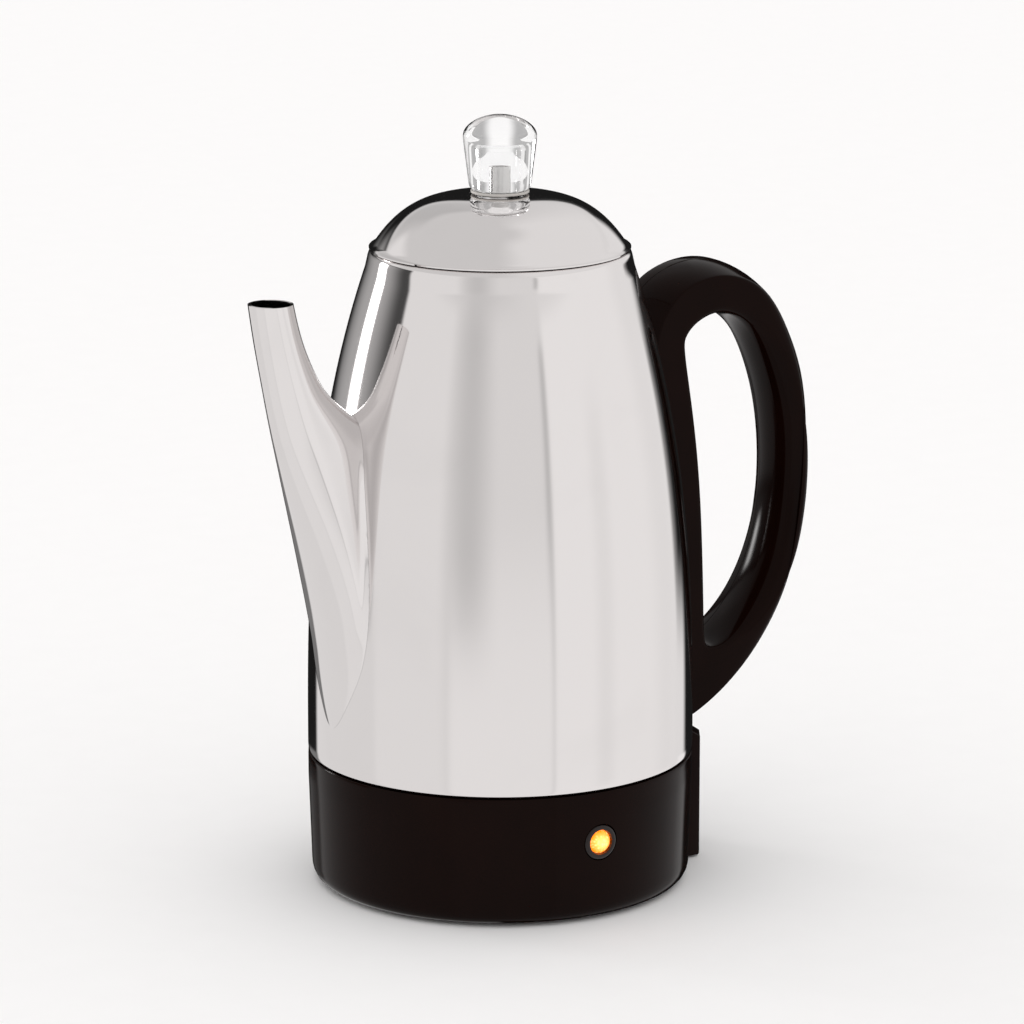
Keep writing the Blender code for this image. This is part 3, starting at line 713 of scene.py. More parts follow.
FLARE_LOW = (68.0, 100.0)   # heights over which the weld's flare fades in
FLARE_HIGH = (172.0, 198.0)  # heights over which it fades out again
FLARE_PUSH = 0.35           # how far it moves the surface out, as a share of its reach


def spout_ring(row, count=240):
    z, nose, wide, half, back = row
    ring = []
    for k in range(count):
        angle = 2 * pi * k / count
        reach = (wide - nose) if cos(angle) > 0 else (back - wide)
        ring.append(Vector((wide - reach * cos(angle), half * sin(angle), z)))
    return ring


def eased(value, low, high):
    share_of = min(1.0, max(0.0, (value - low) / (high - low)))
    return share_of * share_of * (3.0 - 2.0 * share_of)


def flared(point, centre, fillet):
    """Moves a point of the spout outwards where it comes close to the pot's wall."""
    clearance = Vector((point.x, point.y)).length - pot_radius(point.z)
    near = max(0.0, 1.0 - max(0.0, clearance) / fillet)
    strength = eased(point.z, *FLARE_LOW) * (1.0 - eased(point.z, *FLARE_HIGH))
    away = Vector((point.x - centre.x, point.y - centre.y, 0.0)).normalized()
    return point + away * (FLARE_PUSH * fillet * strength * near * near)


class PERCOLATOR_OT_spout(bpy.types.Operator):
    """Builds the spout, flared where it is welded to the pot."""
    bl_idname = "percolator.spout"
    bl_label = "Spout"

    def execute(self, context):
        sizes = context.scene.percolator_pot
        fillet = sizes.weld_fillet / MM
        rings = []
        for row in blended(SPOUT_STATIONS, 7):
            centre = Vector((row[2], 0.0, row[0]))
            rings.append([flared(point, centre, fillet) for point in spout_ring(row)])
        spout = piece("spout_shell", lofted(rings, caps=False))
        walled(spout, sizes.spout_wall)
        inside = [(0.0, 252.0), (45.0, 252.0)]
        inside += [(pot_radius(z) + WALL_TRIM, z) for z in wall_levels(45.0, 246.0, 3.0)]
        inside += [(0.0, 45.0)]
        combined(spout, [piece("pot_solid", spun(inside))], "DIFFERENCE")
        rounded(spout, 0.3, 3, radians(60))
        shown(spout, "spout_steel", "pot", ["spout"])
        return {"FINISHED"}


# Base -----------------------------------------------------------------------------------------

def screw_angles():
    return [radians(60.0 + 120.0 * k) for k in range(3)]


def around(radius, angle, z=0.0):
    return Vector((radius * cos(angle), radius * sin(angle), z))


def skirt_wall(low, high):
    """Points of the skirt's outer side, close together, from the top down."""
    levels = wall_levels(low, high, 2.0)
    return [(74.1 + 0.9 * (z - 14.5) / 27.5 if z < 42.0 else 75.0, z) for z in levels]


class PERCOLATOR_OT_base(bpy.types.Operator):
    """Builds the base skirt, the bottom cover and its screws."""
    bl_idname = "percolator.base"
    bl_label = "Base"

    def execute(self, context):
        sizes = context.scene.percolator_base
        circle = sizes.screw_circle / MM
        self.skirt(sizes, circle)
        self.cover(circle)
        for index, angle in enumerate(screw_angles()):
            self.cover_screw(index, circle, angle)
        return {"FINISHED"}

    def skirt(self, sizes, circle):
        outer = [(74.95, 51.2, 0.35)] + skirt_wall(8.0, 49.5)
        outer += [(73.75, 5.8), (73.4, 4.3), (72.7, 2.9), (71.6, 1.8), (69.8, 1.2)]
        inner = [(66.4, 1.2, 0.3), (66.4, 3.4), (70.2, 3.6), (71.3, 7.0), (72.1, 23.0),
                 (72.5, 48.9), (62.0, 48.9), (62.0, 51.2)]
        skirt = piece("base_skirt_shell", spun(outer + inner, closed=True))
        lamp_z = sizes.lamp_height / MM
        posts, holes = [], []
        for angle in screw_angles():
            x, y, z = around(circle, angle, 15.2)
            posts.append(piece("post", rod((x, y, z), 4.2, 22.0)))
            rib = block((circle, -1.2, 8.4), (circle + 20.5, 1.2, 25.0))
            posts.append(piece("rib", moved(rib, Matrix.Rotation(angle, 4, "Z"))))
            holes.append(piece("pilot", rod((x, y, 9.0), 1.8, 18.0)))
        combined(skirt, posts, "UNION")
        holes.append(piece("lamp_hole", rod((0.0, -74.0, lamp_z), 7.2, 16.0, "Y", 64)))
        holes.append(piece("inlet_window", block((60.0, -14.3, 9.7), (90.0, 14.3, 45.3))))
        combined(skirt, holes, "DIFFERENCE")
        shown(skirt, "base_plastic", "pot", ["base_skirt"])

    def cover(self, circle):
        profile = [(66.0, 8.0, 0.4), (66.0, 1.9, 0.5), (60.5, 1.9), (60.0, 0.0, 0.5),
                   (57.0, 0.0, 0.5), (56.5, 1.9), (40.0, 1.9), (20.0, 1.9), (0.0, 1.9),
                   (0.0, 3.9), (64.0, 3.9), (64.0, 8.0, 0.4)]
        cover = piece("bottom_cover_plate", spun(profile))
        holes = [piece("hole", rod(around(circle, angle, 3.0), 1.8, 8.0))
                 for angle in screw_angles()]
        combined(cover, holes, "DIFFERENCE")
        shown(cover, "base_plastic", "pot", ["bottom_cover"])

    def cover_screw(self, index, circle, angle):
        profile = [(0.0, 15.0), (0.7, 14.5), (1.4, 13.2), (1.4, 1.6), (3.3, 1.6, 0.15),
                   (3.1, 0.9, 0.2), (2.2, 0.45), (0.0, 0.3)]
        screw = piece("cover_screw_%d_head" % (index + 1), spun(profile, count=48))
        cross_slot(screw, Matrix.Translation((0.0, 0.0, 0.3 * MM)))
        screw.data.transform(Matrix.Translation(around(circle, angle) * MM))
        shown(screw, "zinc_steel", "pot", ["cover_screw_%d" % (index + 1)])


def cross_slot(screw, place):
    """Cuts a cross recess into a screw's head; place brings the head's middle to the origin."""
    cuts = []
    for size in ((3.4, 0.7, 1.6), (0.7, 3.4, 1.6)):
        half = Vector(size) / 2
        cuts.append(piece("cross", moved(block(-half, half), place)))
    return combined(screw, cuts, "DIFFERENCE")


class PERCOLATOR_OT_indicator(bpy.types.Operator):
    """Builds the indicator's lens and bezel."""
    bl_idname = "percolator.indicator"
    bl_label = "Indicator"

    def execute(self, context):
        z = context.scene.percolator_base.lamp_height
        facing = Matrix.Translation((0.0, 0.0, z)) @ Matrix.Rotation(pi / 2, 4, "X")
        dome = [(4.5 * sin(a), 73.2 + 3.0 * cos(a)) for a in (k * pi / 24 for k in range(13))]
        lens_profile = dome + [(4.5, 64.0), (3.4, 64.0), (3.4, 71.4, 0.6), (0.0, 72.2)]
        lens = piece("indicator_lens_dome", moved(spun(lens_profile, count=64), facing))
        shown(settle(lens), "amber_lens", "pot", ["indicator_lens"])
        bezel_profile = [(4.8, 74.9, 0.25), (5.4, 75.1, 0.2), (6.2, 75.1, 0.5),
                         (6.9, 74.3, 0.3), (6.9, 70.0), (4.8, 70.0)]
        bezel = moved(spun(bezel_profile, closed=True, count=72), facing)
        shown(settle(piece("indicator_bezel_ring", bezel)), "bezel_plastic", "pot",
              ["indicator_bezel"])
        return {"FINISHED"}


def inlet_ring(z, inset):
    """Plan of the inlet's housing at a height, its outer faces set back by the inset."""
    front = [(77.5 - inset, -24.0), (82.3 - inset, -16.0), (82.3 - inset, 16.0),
             (77.5 - inset, 24.0)]
    return [(x, y, z) for x, y in [(60.0, -24.0)] + front + [(60.0, 24.0)]]


class PERCOLATOR_OT_inlet(bpy.types.Operator):
    """Builds the appliance inlet's shroud and pins."""
    bl_idname = "percolator.inlet"
    bl_label = "Inlet"

    def execute(self, context):
        sizes = context.scene.percolator_base
        rings = [inlet_ring(0.8, 0.6), inlet_ring(1.4, 0.0), inlet_ring(49.6, 0.0),
                 inlet_ring(53.2, 5.4)]
        shroud = rounded(piece("inlet_shroud", lofted(rings)), 0.5, 4, radians(25))
        skirt_side = [(0.0, 60.0), (75.3, 60.0), (75.3, 0.0), (0.0, 0.0)]
        combined(shroud, [piece("skirt_side", spun(skirt_side))], "DIFFERENCE")
        combined(shroud, [piece("core", block((56.0, -14.0, 10.0), (80.0, 14.0, 45.0)))],
                 "UNION")
        pins = []
        z = sizes.pin_height / MM
        for sign in (-1, 1):
            y = sign * sizes.pin_spacing / MM / 2
            pins.append((y, piece("pin_hole", rod((58.0, y, z), 2.65, 10.0, "X"))))
        socket = rounded(piece("socket", block((59.0, -11.5, 15.0), (90.0, 11.5, 33.0))),
                         2.0, 4)
        combined(shroud, [socket] + [hole for y, hole in pins], "DIFFERENCE")
        shown(shroud, "base_plastic", "pot", ["inlet_housing"])
        for (y, hole), side in zip(pins, ("left", "right")):
            self.pin(side, y, z)
        return {"FINISHED"}

    def pin(self, side, y, z):
        tip = [(2.35 * sin(a), 75.65 + 2.35 * cos(a)) for a in (k * pi / 16 for k in range(9))]
        bm = spun(tip + [(2.35, 50.0, 0.3), (0.0, 50.0)], count=40)
        turn = Matrix.Translation((0.0, y * MM, z * MM)) @ Matrix.Rotation(pi / 2, 4, "Y")
        pin = settle(piece("inlet_contact_" + side, moved(bm, turn)))
        shown(pin, "zinc_steel", "pot", ["inlet_pin_" + side])


# Handle ---------------------------------------------------------------------------------------

# Stations around the handle's loop: inner x, inner z, outer x, outer z, share of the grip's
# width, height of the outer crown, height of the inner crown, swell of the sides, rounding of
# the outer corners, rounding of the inner corners. They run from the strap's top over the grip,
# down to the tail and back up along the pot.
HANDLE_STATIONS = [
    (77.6, 204.0, 57.5, 205.0, 0.0, 6.4, 0.6, 0.0, 0.7, 1.6),
    (78.4, 207.9, 59.4, 213.6, 0.0, 6.2, 0.6, 0.0, 0.7, 1.6),
    (81.4, 211.4, 64.2, 221.9, 0.0, 5.6, 0.6, 0.0, 0.7, 1.8),
    (86.2, 213.9, 74.0, 230.6, 0.0, 4.8, 0.8, 0.0, 0.7, 2.0),
    (93.0, 215.2, 90.0, 234.9, 0.04, 4.0, 1.2, 0.0, 0.7, 2.6),
    (101.0, 212.5, 105.2, 232.6, 0.14, 4.4, 1.8, 0.3, 1.0, 3.4),
    (109.2, 205.6, 118.4, 223.4, 0.34, 3.8, 2.6, 1.0, 1.8, 4.4),
    (115.6, 192.6, 127.9, 205.0, 0.62, 2.6, 3.2, 1.8, 2.8, 5.2),
    (120.7, 176.6, 133.1, 186.0, 0.88, 1.2, 3.6, 2.4, 3.8, 5.6),
    (123.2, 159.6, 134.6, 164.0, 1.0, 0.7, 3.6, 2.6, 4.2, 5.8),
    (123.3, 143.5, 134.3, 143.5, 1.0, 0.6, 3.6, 2.6, 4.2, 5.8),
    (121.5, 128.2, 131.6, 123.5, 1.0, 0.6, 3.6, 2.6, 4.2, 5.8),
    (117.7, 114.0, 126.5, 105.0, 0.94, 0.6, 3.4, 2.4, 3.8, 5.4),
    (111.4, 101.0, 118.8, 89.5, 0.8, 0.7, 3.0, 1.8, 2.8, 4.6),
    (103.4, 90.6, 108.3, 75.6, 0.66, 0.8, 2.4, 1.0, 1.8, 3.6),
    (96.2, 84.6, 96.9, 65.2, 0.5, 0.9, 1.6, 0.3, 1.0, 2.6),
    (91.0, 82.8, 86.4, 57.8, 0.3, 1.0, 1.0, 0.0, 0.8, 2.0),
    (88.2, 83.6, 73.0, 52.6, 0.12, 1.2, 0.8, 0.0, 0.8, 1.6),
    (87.2, 88.0, 70.0, 70.0, 0.1, 1.6, 0.6, 0.0, 0.9, 1.6),
    (87.0, 98.0, 70.0, 92.0, 0.12, 1.6, 0.6, 0.0, 0.9, 1.6),
    (86.5, 114.0, 69.5, 112.0, 0.12, 1.6, 0.6, 0.0, 0.9, 1.6),
    (85.5, 136.0, 68.5, 136.0, 0.12, 1.6, 0.6, 0.0, 0.9, 1.6),
    (83.8, 158.0, 66.5, 158.0, 0.1, 2.0, 0.6, 0.0, 0.9, 1.6),
    (81.3, 178.0, 63.4, 178.0, 0.06, 3.0, 0.6, 0.0, 0.8, 1.6),
    (78.9, 194.0, 60.0, 194.0, 0.0, 4.8, 0.6, 0.0, 0.8, 1.6),
]
CROWN_SHIFT = 9.0           # the outer crown is highest this far towards the cover half
HANDLE_SCREWS = {"top": (67.4, 211.0), "bottom": (80.5, 68.0)}


def corner_points(before, corner, after, count=5):
    """Points of a rounded corner, its first and last left out."""
    points = []
    for k in range(1, count):
        t = k / count
        points.append(before * (1 - t) ** 2 + corner * 2 * t * (1 - t) + after * t * t)
    return points


def between(low, high, count):
    return [low + (high - low) * k / count for k in range(count + 1)]


def section(depth, width, crown_out, crown_in, swell, round_out, round_in):
    """The handle's closed cross-section as points of (depth, width)."""
    edge = width - swell
    low = crown_in - depth

    def outer(w):
        fall = (w - CROWN_SHIFT) / (edge + CROWN_SHIFT)
        return Vector((depth - crown_out * fall * fall, w))

    def inner(w):
        return Vector((crown_in * (w / edge) ** 2 - depth, w))

    def side(sign, count=11):
        high = outer(sign * edge).x
        middle, reach = (high + low) / 2, (high - low) / 2
        return [Vector((d, sign * (edge + swell * (1 - ((d - middle) / reach) ** 2))))
                for d in between(high - round_out, low + round_in, count)]

    top = [outer(w) for w in between(round_out - edge, edge - round_out, 18)]
    under = [inner(w) for w in between(edge - round_in, round_in - edge, 18)]
    far, near = side(1), side(-1)[::-1]
    points = top + corner_points(top[-1], outer(edge), far[0])
    points += far + corner_points(far[-1], Vector((low, edge)), under[0])
    points += under + corner_points(under[-1], Vector((low, -edge)), near[0])
    return points + near + corner_points(near[-1], outer(-edge), top[0])


def handle_ring(row, sizes):
    """One ring of the handle's skin; along the pot it lies against the wall."""
    inner, outer = Vector((row[0], row[1])), Vector((row[2], row[3]))
    middle, reach = (inner + outer) / 2, (outer - inner).length / 2
    along = (outer - inner).normalized()
    width = (sizes.strap_width + (sizes.grip_width - sizes.strap_width) * row[4]) / MM
    ring = []
    for d, w in section(reach, width, *row[5:]):
        place = middle + along * d
        x = place.x
        radius = pot_radius(place.y) + POT_GAP
        if radius > abs(w):
            x = max(x, sqrt(radius * radius - w * w))
        ring.append((x, w, place.y))
    return ring


def handle_half(name, keep_low, parting, sizes):
    """One half of the handle's loop, cut flat at the parting plane."""
    rings = [handle_ring(row, sizes) for row in blended(HANDLE_STATIONS, 6, cyclic=True)]
    bm = lofted(rings, cyclic=True)
    geometry = bm.verts[:] + bm.edges[:] + bm.faces[:]
    made = bmesh.ops.bisect_plane(bm, geom=geometry, dist=WELD, plane_co=(0.0, parting, 0.0),
                                  plane_no=(0.0, 1.0, 0.0), clear_outer=keep_low,
                                  clear_inner=not keep_low)
    rims = [e for e in made["geom_cut"] if isinstance(e, bmesh.types.BMEdge)]
    bmesh.ops.triangle_fill(bm, edges=rims, use_beauty=True)
    tidy(bm)
    return piece(name, bm)


class PERCOLATOR_OT_handle(bpy.types.Operator):
    """Builds the handle's two halves and its screws."""
    bl_idname = "percolator.handle"
    bl_label = "Handle"

    def execute(self, context):
        sizes = context.scene.percolator_handle
        gap = HALF_GAP * MM
        main = handle_half("handle_main", True, sizes.parting - gap, sizes)
        cover = handle_half("handle_far_side", False, sizes.parting + gap, sizes)
        rounded(main, sizes.groove / MM, 3, radians(50))
        rounded(cover, sizes.groove / MM, 3, radians(50))
        heads = [piece("head_room", rod((x, 14.0, z), 3.5, 9.0, "Y", 48))
                 for x, z in HANDLE_SCREWS.values()]
        combined(cover, heads, "DIFFERENCE")
        shown(main, "base_plastic", "pot", ["handle_body"])
        shown(cover, "base_plastic", "pot", ["handle_cover"])
        for end, (x, z) in HANDLE_SCREWS.items():
            self.screw(end, x, z)
        return {"FINISHED"}

    def screw(self, end, x, z):
        profile = [(0.0, 11.6), (2.2, 11.5), (3.1, 11.0, 0.2), (3.2, 9.8, 0.1), (1.5, 9.8),
                   (1.5, -8.6), (1.1, -9.6), (0.0, -9.8)]
        screw = piece("handle_screw_%s_head" % end, spun(profile, count=48))
        cross_slot(screw, Matrix.Translation((0.0, 0.0, 11.6 * MM)))
        turn = Matrix.Translation((x * MM, 0.0, z * MM)) @ Matrix.Rotation(-pi / 2, 4, "X")
        screw.data.transform(turn)
        shown(screw, "zinc_steel", "pot", ["handle_screw_" + end])


# Pump, basket and spreader --------------------------------------------------------------------

class PERCOLATOR_OT_pump(bpy.types.Operator):
    """Builds the pump's tube, bell, valve and the well that it stands in."""
    bl_idname = "percolator.pump"
    bl_label = "Pump"

    def execute(self, context):
        tube = [(4.0, 281.4, 0.2), (4.0, 172.6), (4.4, 172.3), (6.0, 171.9), (6.6, 171.0, 0.4),
                (6.0, 170.1), (4.4, 169.7), (4.0, 169.4), (4.0, 40.0, 0.2), (3.2, 40.0, 0.2),
                (3.2, 281.4, 0.2)]
        shown(settle(piece("pump_riser", spun(tube, closed=True, count=72))), "spun_steel",
              "pump", ["pump_tube"])
        bell = [(5.3, 62.0, 0.2), (5.3, 50.0, 1.5), (8.0, 46.0, 1.2), (13.0, 43.6, 0.8),
                (14.5, 41.8, 0.8), (14.5, 35.4, 0.2), (13.4, 35.4, 0.2), (13.4, 41.2, 0.8),
                (12.4, 42.6, 0.8), (7.2, 45.0, 1.2), (4.3, 49.4, 1.5), (4.3, 62.0, 0.2)]
        shown(settle(piece("pump_bell", spun(bell, closed=True, count=96))), "spun_steel",
              "pump", ["pump_base"])
        seat = [(13.1, 36.6, 0.15), (13.1, 35.6, 0.15), (5.0, 35.6, 0.15), (5.0, 36.6, 0.15)]
        shown(settle(piece("pump_valve_seat", spun(seat, closed=True, count=96))),
              "spun_steel", "pump", ["valve_seat"])
        disc = [(0.0, 37.7), (8.4, 37.7, 0.2), (8.4, 36.9, 0.2), (0.0, 36.9)]
        shown(settle(piece("pump_valve_disc", spun(disc, count=72))), "spun_steel", "valve",
              ["valve_disc"])
        well = [(22.0, 53.9), (16.6, 53.9), (16.15, 53.7), (16.0, 53.2), (16.0, 44.0),
                (16.0, 35.2, 0.6), (15.0, 34.2, 0.4), (8.0, 34.2), (0.0, 34.2)]
        shown(walled(piece("heating_well", spun(well, count=96)), 0.8 * MM), "spun_steel",
              "pot", ["pump_well"])
        return {"FINISHED"}


def hole_cutters(radius, count, size, z):
    places = [around(radius, 2 * pi * (k + 0.43) / count, z) for k in range(count)]
    return [piece("hole", rod(place, size, 8.0, "Z", 20)) for place in places]


class PERCOLATOR_OT_basket(bpy.types.Operator):
    """Builds the coffee basket and the water spreader."""
    bl_idname = "percolator.basket"
    bl_label = "Basket and spreader"

    def execute(self, context):
        cup = [(44.4, 231.4, 0.2), (43.3, 231.3, 0.2), (42.8, 230.4, 0.3), (42.3, 220.0),
               (41.9, 210.0), (41.6, 202.0), (41.1, 190.0), (40.7, 178.0), (40.6, 174.2, 1.0),
               (38.8, 172.2, 1.0), (34.0, 172.2), (24.0, 172.2), (12.0, 172.2),
               (7.0, 172.2, 0.8), (4.9, 173.6, 0.8), (4.8, 184.0), (4.7, 196.0)]
        basket = walled(piece("basket_cup", spun(cup)), 0.6 * MM)
        combined(basket, hole_cutters(16.0, 8, 1.3, 172.5) + hole_cutters(29.0, 14, 1.3, 172.5),
                 "DIFFERENCE")
        shown(basket, "spun_steel", "coffee_basket", ["basket"])
        plate = [(4.8, 238.0, 0.2), (14.0, 237.8, 1.5), (32.0, 236.2, 2.0), (42.0, 233.4, 1.0),
                 (45.0, 233.2, 0.2), (45.0, 232.5, 0.2), (41.8, 232.7, 1.0),
                 (31.8, 235.5, 2.0), (14.0, 237.1, 1.5), (4.8, 237.3, 0.2)]
        spreader = settle(piece("spreader_plate", spun(plate, closed=True)))
        combined(spreader, hole_cutters(14.0, 6, 1.3, 237.0)
                 + hole_cutters(26.0, 10, 1.3, 236.5), "DIFFERENCE")
        shown(spreader, "spun_steel", "water_spreader", ["spreader"])
        return {"FINISHED"}


# Lid and knob ---------------------------------------------------------------------------------

DOME_HOLE_R = 9.7           # the knob's hole
DOME_EDGE_R = 48.6
DOME_STEPS = 44


class PERCOLATOR_OT_lid(bpy.types.Operator):
    """Builds the domed lid and the ring that locates it in the pot's mouth."""
    bl_idname = "percolator.lid"
    bl_label = "Lid"

    def execute(self, context):
        sizes = context.scene.percolator_lid
        lip = sizes.lip_radius / MM
        radii = [DOME_HOLE_R + (DOME_EDGE_R - DOME_HOLE_R) * (k / DOME_STEPS) ** 0.85
                 for k in range(DOME_STEPS + 1)]
        dome = [(r, self.dome_height(sizes, r)) for r in radii]
        edge = [(lip - 0.25, 250.15), (lip + 0.25, 249.85), (lip + 0.9, 249.7)]
        shell = walled(piece("lid_dome_shell", spun(dome + edge)), 0.6 * MM)
        notches = []
        for side in (-1, 1):
            low, high = sorted((side * 6.0, side * 12.0))
            notches.append(piece("notch", block((-3.2, low, 262.0), (3.2, high, 274.0))))
        combined(shell, notches, "DIFFERENCE")
        shown(shell, "lid_steel", "lid", ["lid_dome"])
        ring = [(47.2, 249.6), (46.9, 249.0), (46.9, 240.5, 0.2), (46.2, 240.5, 0.2),
                (46.2, 249.4), (46.2, 251.0)]
        shown(settle(piece("lid_locating_ring", spun(ring, closed=True))), "spun_steel", "lid",
              ["lid_ring"])
        seal = [(11.2, 271.5, 0.3), (11.2, 270.4, 0.3), (9.6, 270.4, 0.3), (9.6, 271.5, 0.3)]
        shown(settle(piece("knob_gasket", spun(seal, closed=True, count=96))), "silicone",
              "lid", ["knob_seal"])
        return {"FINISHED"}

    def dome_height(self, sizes, radius):
        reach = radius * MM / sizes.lip_radius
        return (sizes.lip_height + sizes.rise * (1 - reach ** sizes.roundness)) / MM


class PERCOLATOR_OT_knob(bpy.types.Operator):
    """Builds the clear knob with its open cavity."""
    bl_idname = "percolator.knob"
    bl_label = "Knob"

    def execute(self, context):
        top = context.scene.percolator_lid.knob_height / MM
        outer = [(0.0, top), (2.6, top - 0.10), (5.2, top - 0.55), (7.8, top - 1.40),
                 (10.2, top - 2.6), (12.2, top - 4.1), (13.6, top - 5.9), (14.1, top - 7.7),
                 (13.95, top - 10.4), (13.4, top - 14.8), (12.8, top - 19.4),
                 (12.3, top - 23.6), (11.9, top - 26.6)]
        outer = [tuple(row) for row in blended(outer, 4)]
        outer[0] = (0.0, top)
        foot = [(11.5, 272.4, 0.5), (10.9, 271.8, 0.4), (9.2, 271.8, 0.2), (9.2, 265.6, 0.4)]
        inner = [(7.6, 265.6, 0.4), (7.9, 279.0), (8.15, 287.6), (8.1, 289.2), (7.6, 290.0),
                 (6.4, 290.2), (0.0, 290.2)]
        cap = piece("knob_cap", spun(outer + foot + inner, count=128))
        lugs = []
        for side in (-1, 1):
            low, high = sorted((side * 8.2, side * 11.4))
            lugs.append(piece("lug", block((low, -2.6, 266.2), (high, 2.6, 268.6))))
        combined(cap, lugs, "UNION")
        shown(cap, "clear_plastic", "percolator_knob", ["knob"])
        return {"FINISHED"}


# Carried-over inner pieces --------------------------------------------------------------------

INNER_FINISHES = {
    "base_clamp_bar": "zinc_steel",
    "well_gasket": "silicone",
    "well_nut": "zinc_steel",
    "heater_element": "spun_steel",
    "thermostat": "zinc_steel",
    "thermal_fuse": "zinc_steel",
    "indicator_lamp": "lamp_glass",
    "handle_bracket_top": "spun_steel",
    "handle_bracket_bottom": "spun_steel",
    "wire_inlet_thermostat": "live_wire",
    "wire_thermostat_fuse": "live_wire",
    "wire_fuse_heater": "live_wire",
    "wire_lamp_live": "live_wire",
    "wire_heater_inlet": "neutral_wire",
    "wire_lamp_neutral": "neutral_wire",
}


class PERCOLATOR_OT_inner_pieces(bpy.types.Operator):
    """Gives the heater, wiring, fixings and brackets their finishes."""
    bl_idname = "percolator.inner_pieces"
    bl_label = "Heater, wiring and fixings"

    def execute(self, context):
        for name, finish in INNER_FINISHES.items():
            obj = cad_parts[name]
            if not obj.material_slots:
                obj.data.materials.append(finish_material(finish))
            for slot in obj.material_slots:
                slot.material = finish_material(finish)
        return {"FINISHED"}


# Stage ----------------------------------------------------------------------------------------

# Soft panels around the studio: turn from the camera in degrees (from, to, softness), height
# above the horizon in degrees (from, to, softness) and brightness. Later ones lie over earlier.
PANELS = [
    (-181.0, 181.0, 0.1, 18.5, 91.0, 1.5, 0.69),
    (15.0, 165.0, 25.0, 21.0, 78.0, 8.0, 0.84),
    (-181.0, -140.0, 14.0, 21.0, 42.0, 4.0, 0.55),
    (-134.0, -106.0, 6.0, 19.0, 32.0, 4.0, 0.86),
    (-84.0, -24.0, 2.5, -91.0, 23.0, 2.5, 0.84),
    (31.5, 131.5, 2.5, -91.0, 22.0, 2.5, 0.92),
    (120.0, 156.0, 5.0, 0.5, 22.0, 2.5, 0.84),
    (127.0, 144.0, 4.0, -91.0, -12.5, 2.0, 0.83),
    (108.0, 132.0, 10.0, -20.0, 22.0, 3.0, 0.86),
    (60.0, 71.0, 5.0, -20.0, 8.0, 5.0, 0.86),
    (-34.0, 31.5, 5.0, -91.0, 24.0, 3.0, 0.79),
    (-30.0, 31.5, 3.0, -91.0, -4.0, 7.0, 0.87),
    (-30.0, -9.0, 10.0, -9.0, 26.0, 7.0, 0.62),
    (-29.0, 31.5, 4.0, -91.0, -11.5, 4.0, 0.89),
    (-108.5, -84.0, 3.0, -9.0, 19.0, 2.5, 0.07),
    (-158.0, -131.0, 10.0, -8.0, 7.0, 2.5, 0.2),
    (-146.0, -101.0, 12.0, -8.0, 16.0, 3.0, 0.42),
    (-143.0, -80.0, 3.0, -91.0, -9.5, 2.5, 0.79),
    (-181.0, -140.0, 4.0, -91.0, -24.0, 5.0, 0.84),
    (-124.5, -117.0, 4.0, -2.0, 13.0, 2.5, 20.0),
    (134.0, 147.0, 3.0, -40.0, -16.4, 0.4, 0.95),
    (-165.0, -143.0, 4.0, -22.0, -16.4, 0.4, 0.2),
]
STUDIO_DARK = 0.012
BEHIND_FROM = 140.0         # rays through clear pieces see a grey rim beyond this turn
WHITE_FROM = 168.0          # and plain white beyond this one
BEHIND_SOFT = 6.0           # softness of both changes, in degrees
BEHIND_GREY = 0.45
ROOM_LIGHT = 1.06           # what the camera and matt surfaces see all round


def angle_of(tree, *parts):
    """Turn from the camera in degrees, from the parts of a direction towards it and across."""
    turn = maths(tree, "ARCTAN2", *parts)
    return maths(tree, "MULTIPLY", turn, DEGREES)


def window(tree, value, low, high, soft):
    rise = smooth_step(tree, value, low - soft, low + soft)
    fall = smooth_step(tree, value, high + soft, high - soft)
    return maths(tree, "MULTIPLY", rise, fall)


def dot(tree, direction, vector):
    made = node(tree, "ShaderNodeVectorMath", {0: direction, 1: vector},
                operation="DOT_PRODUCT")
    return made.outputs["Value"]


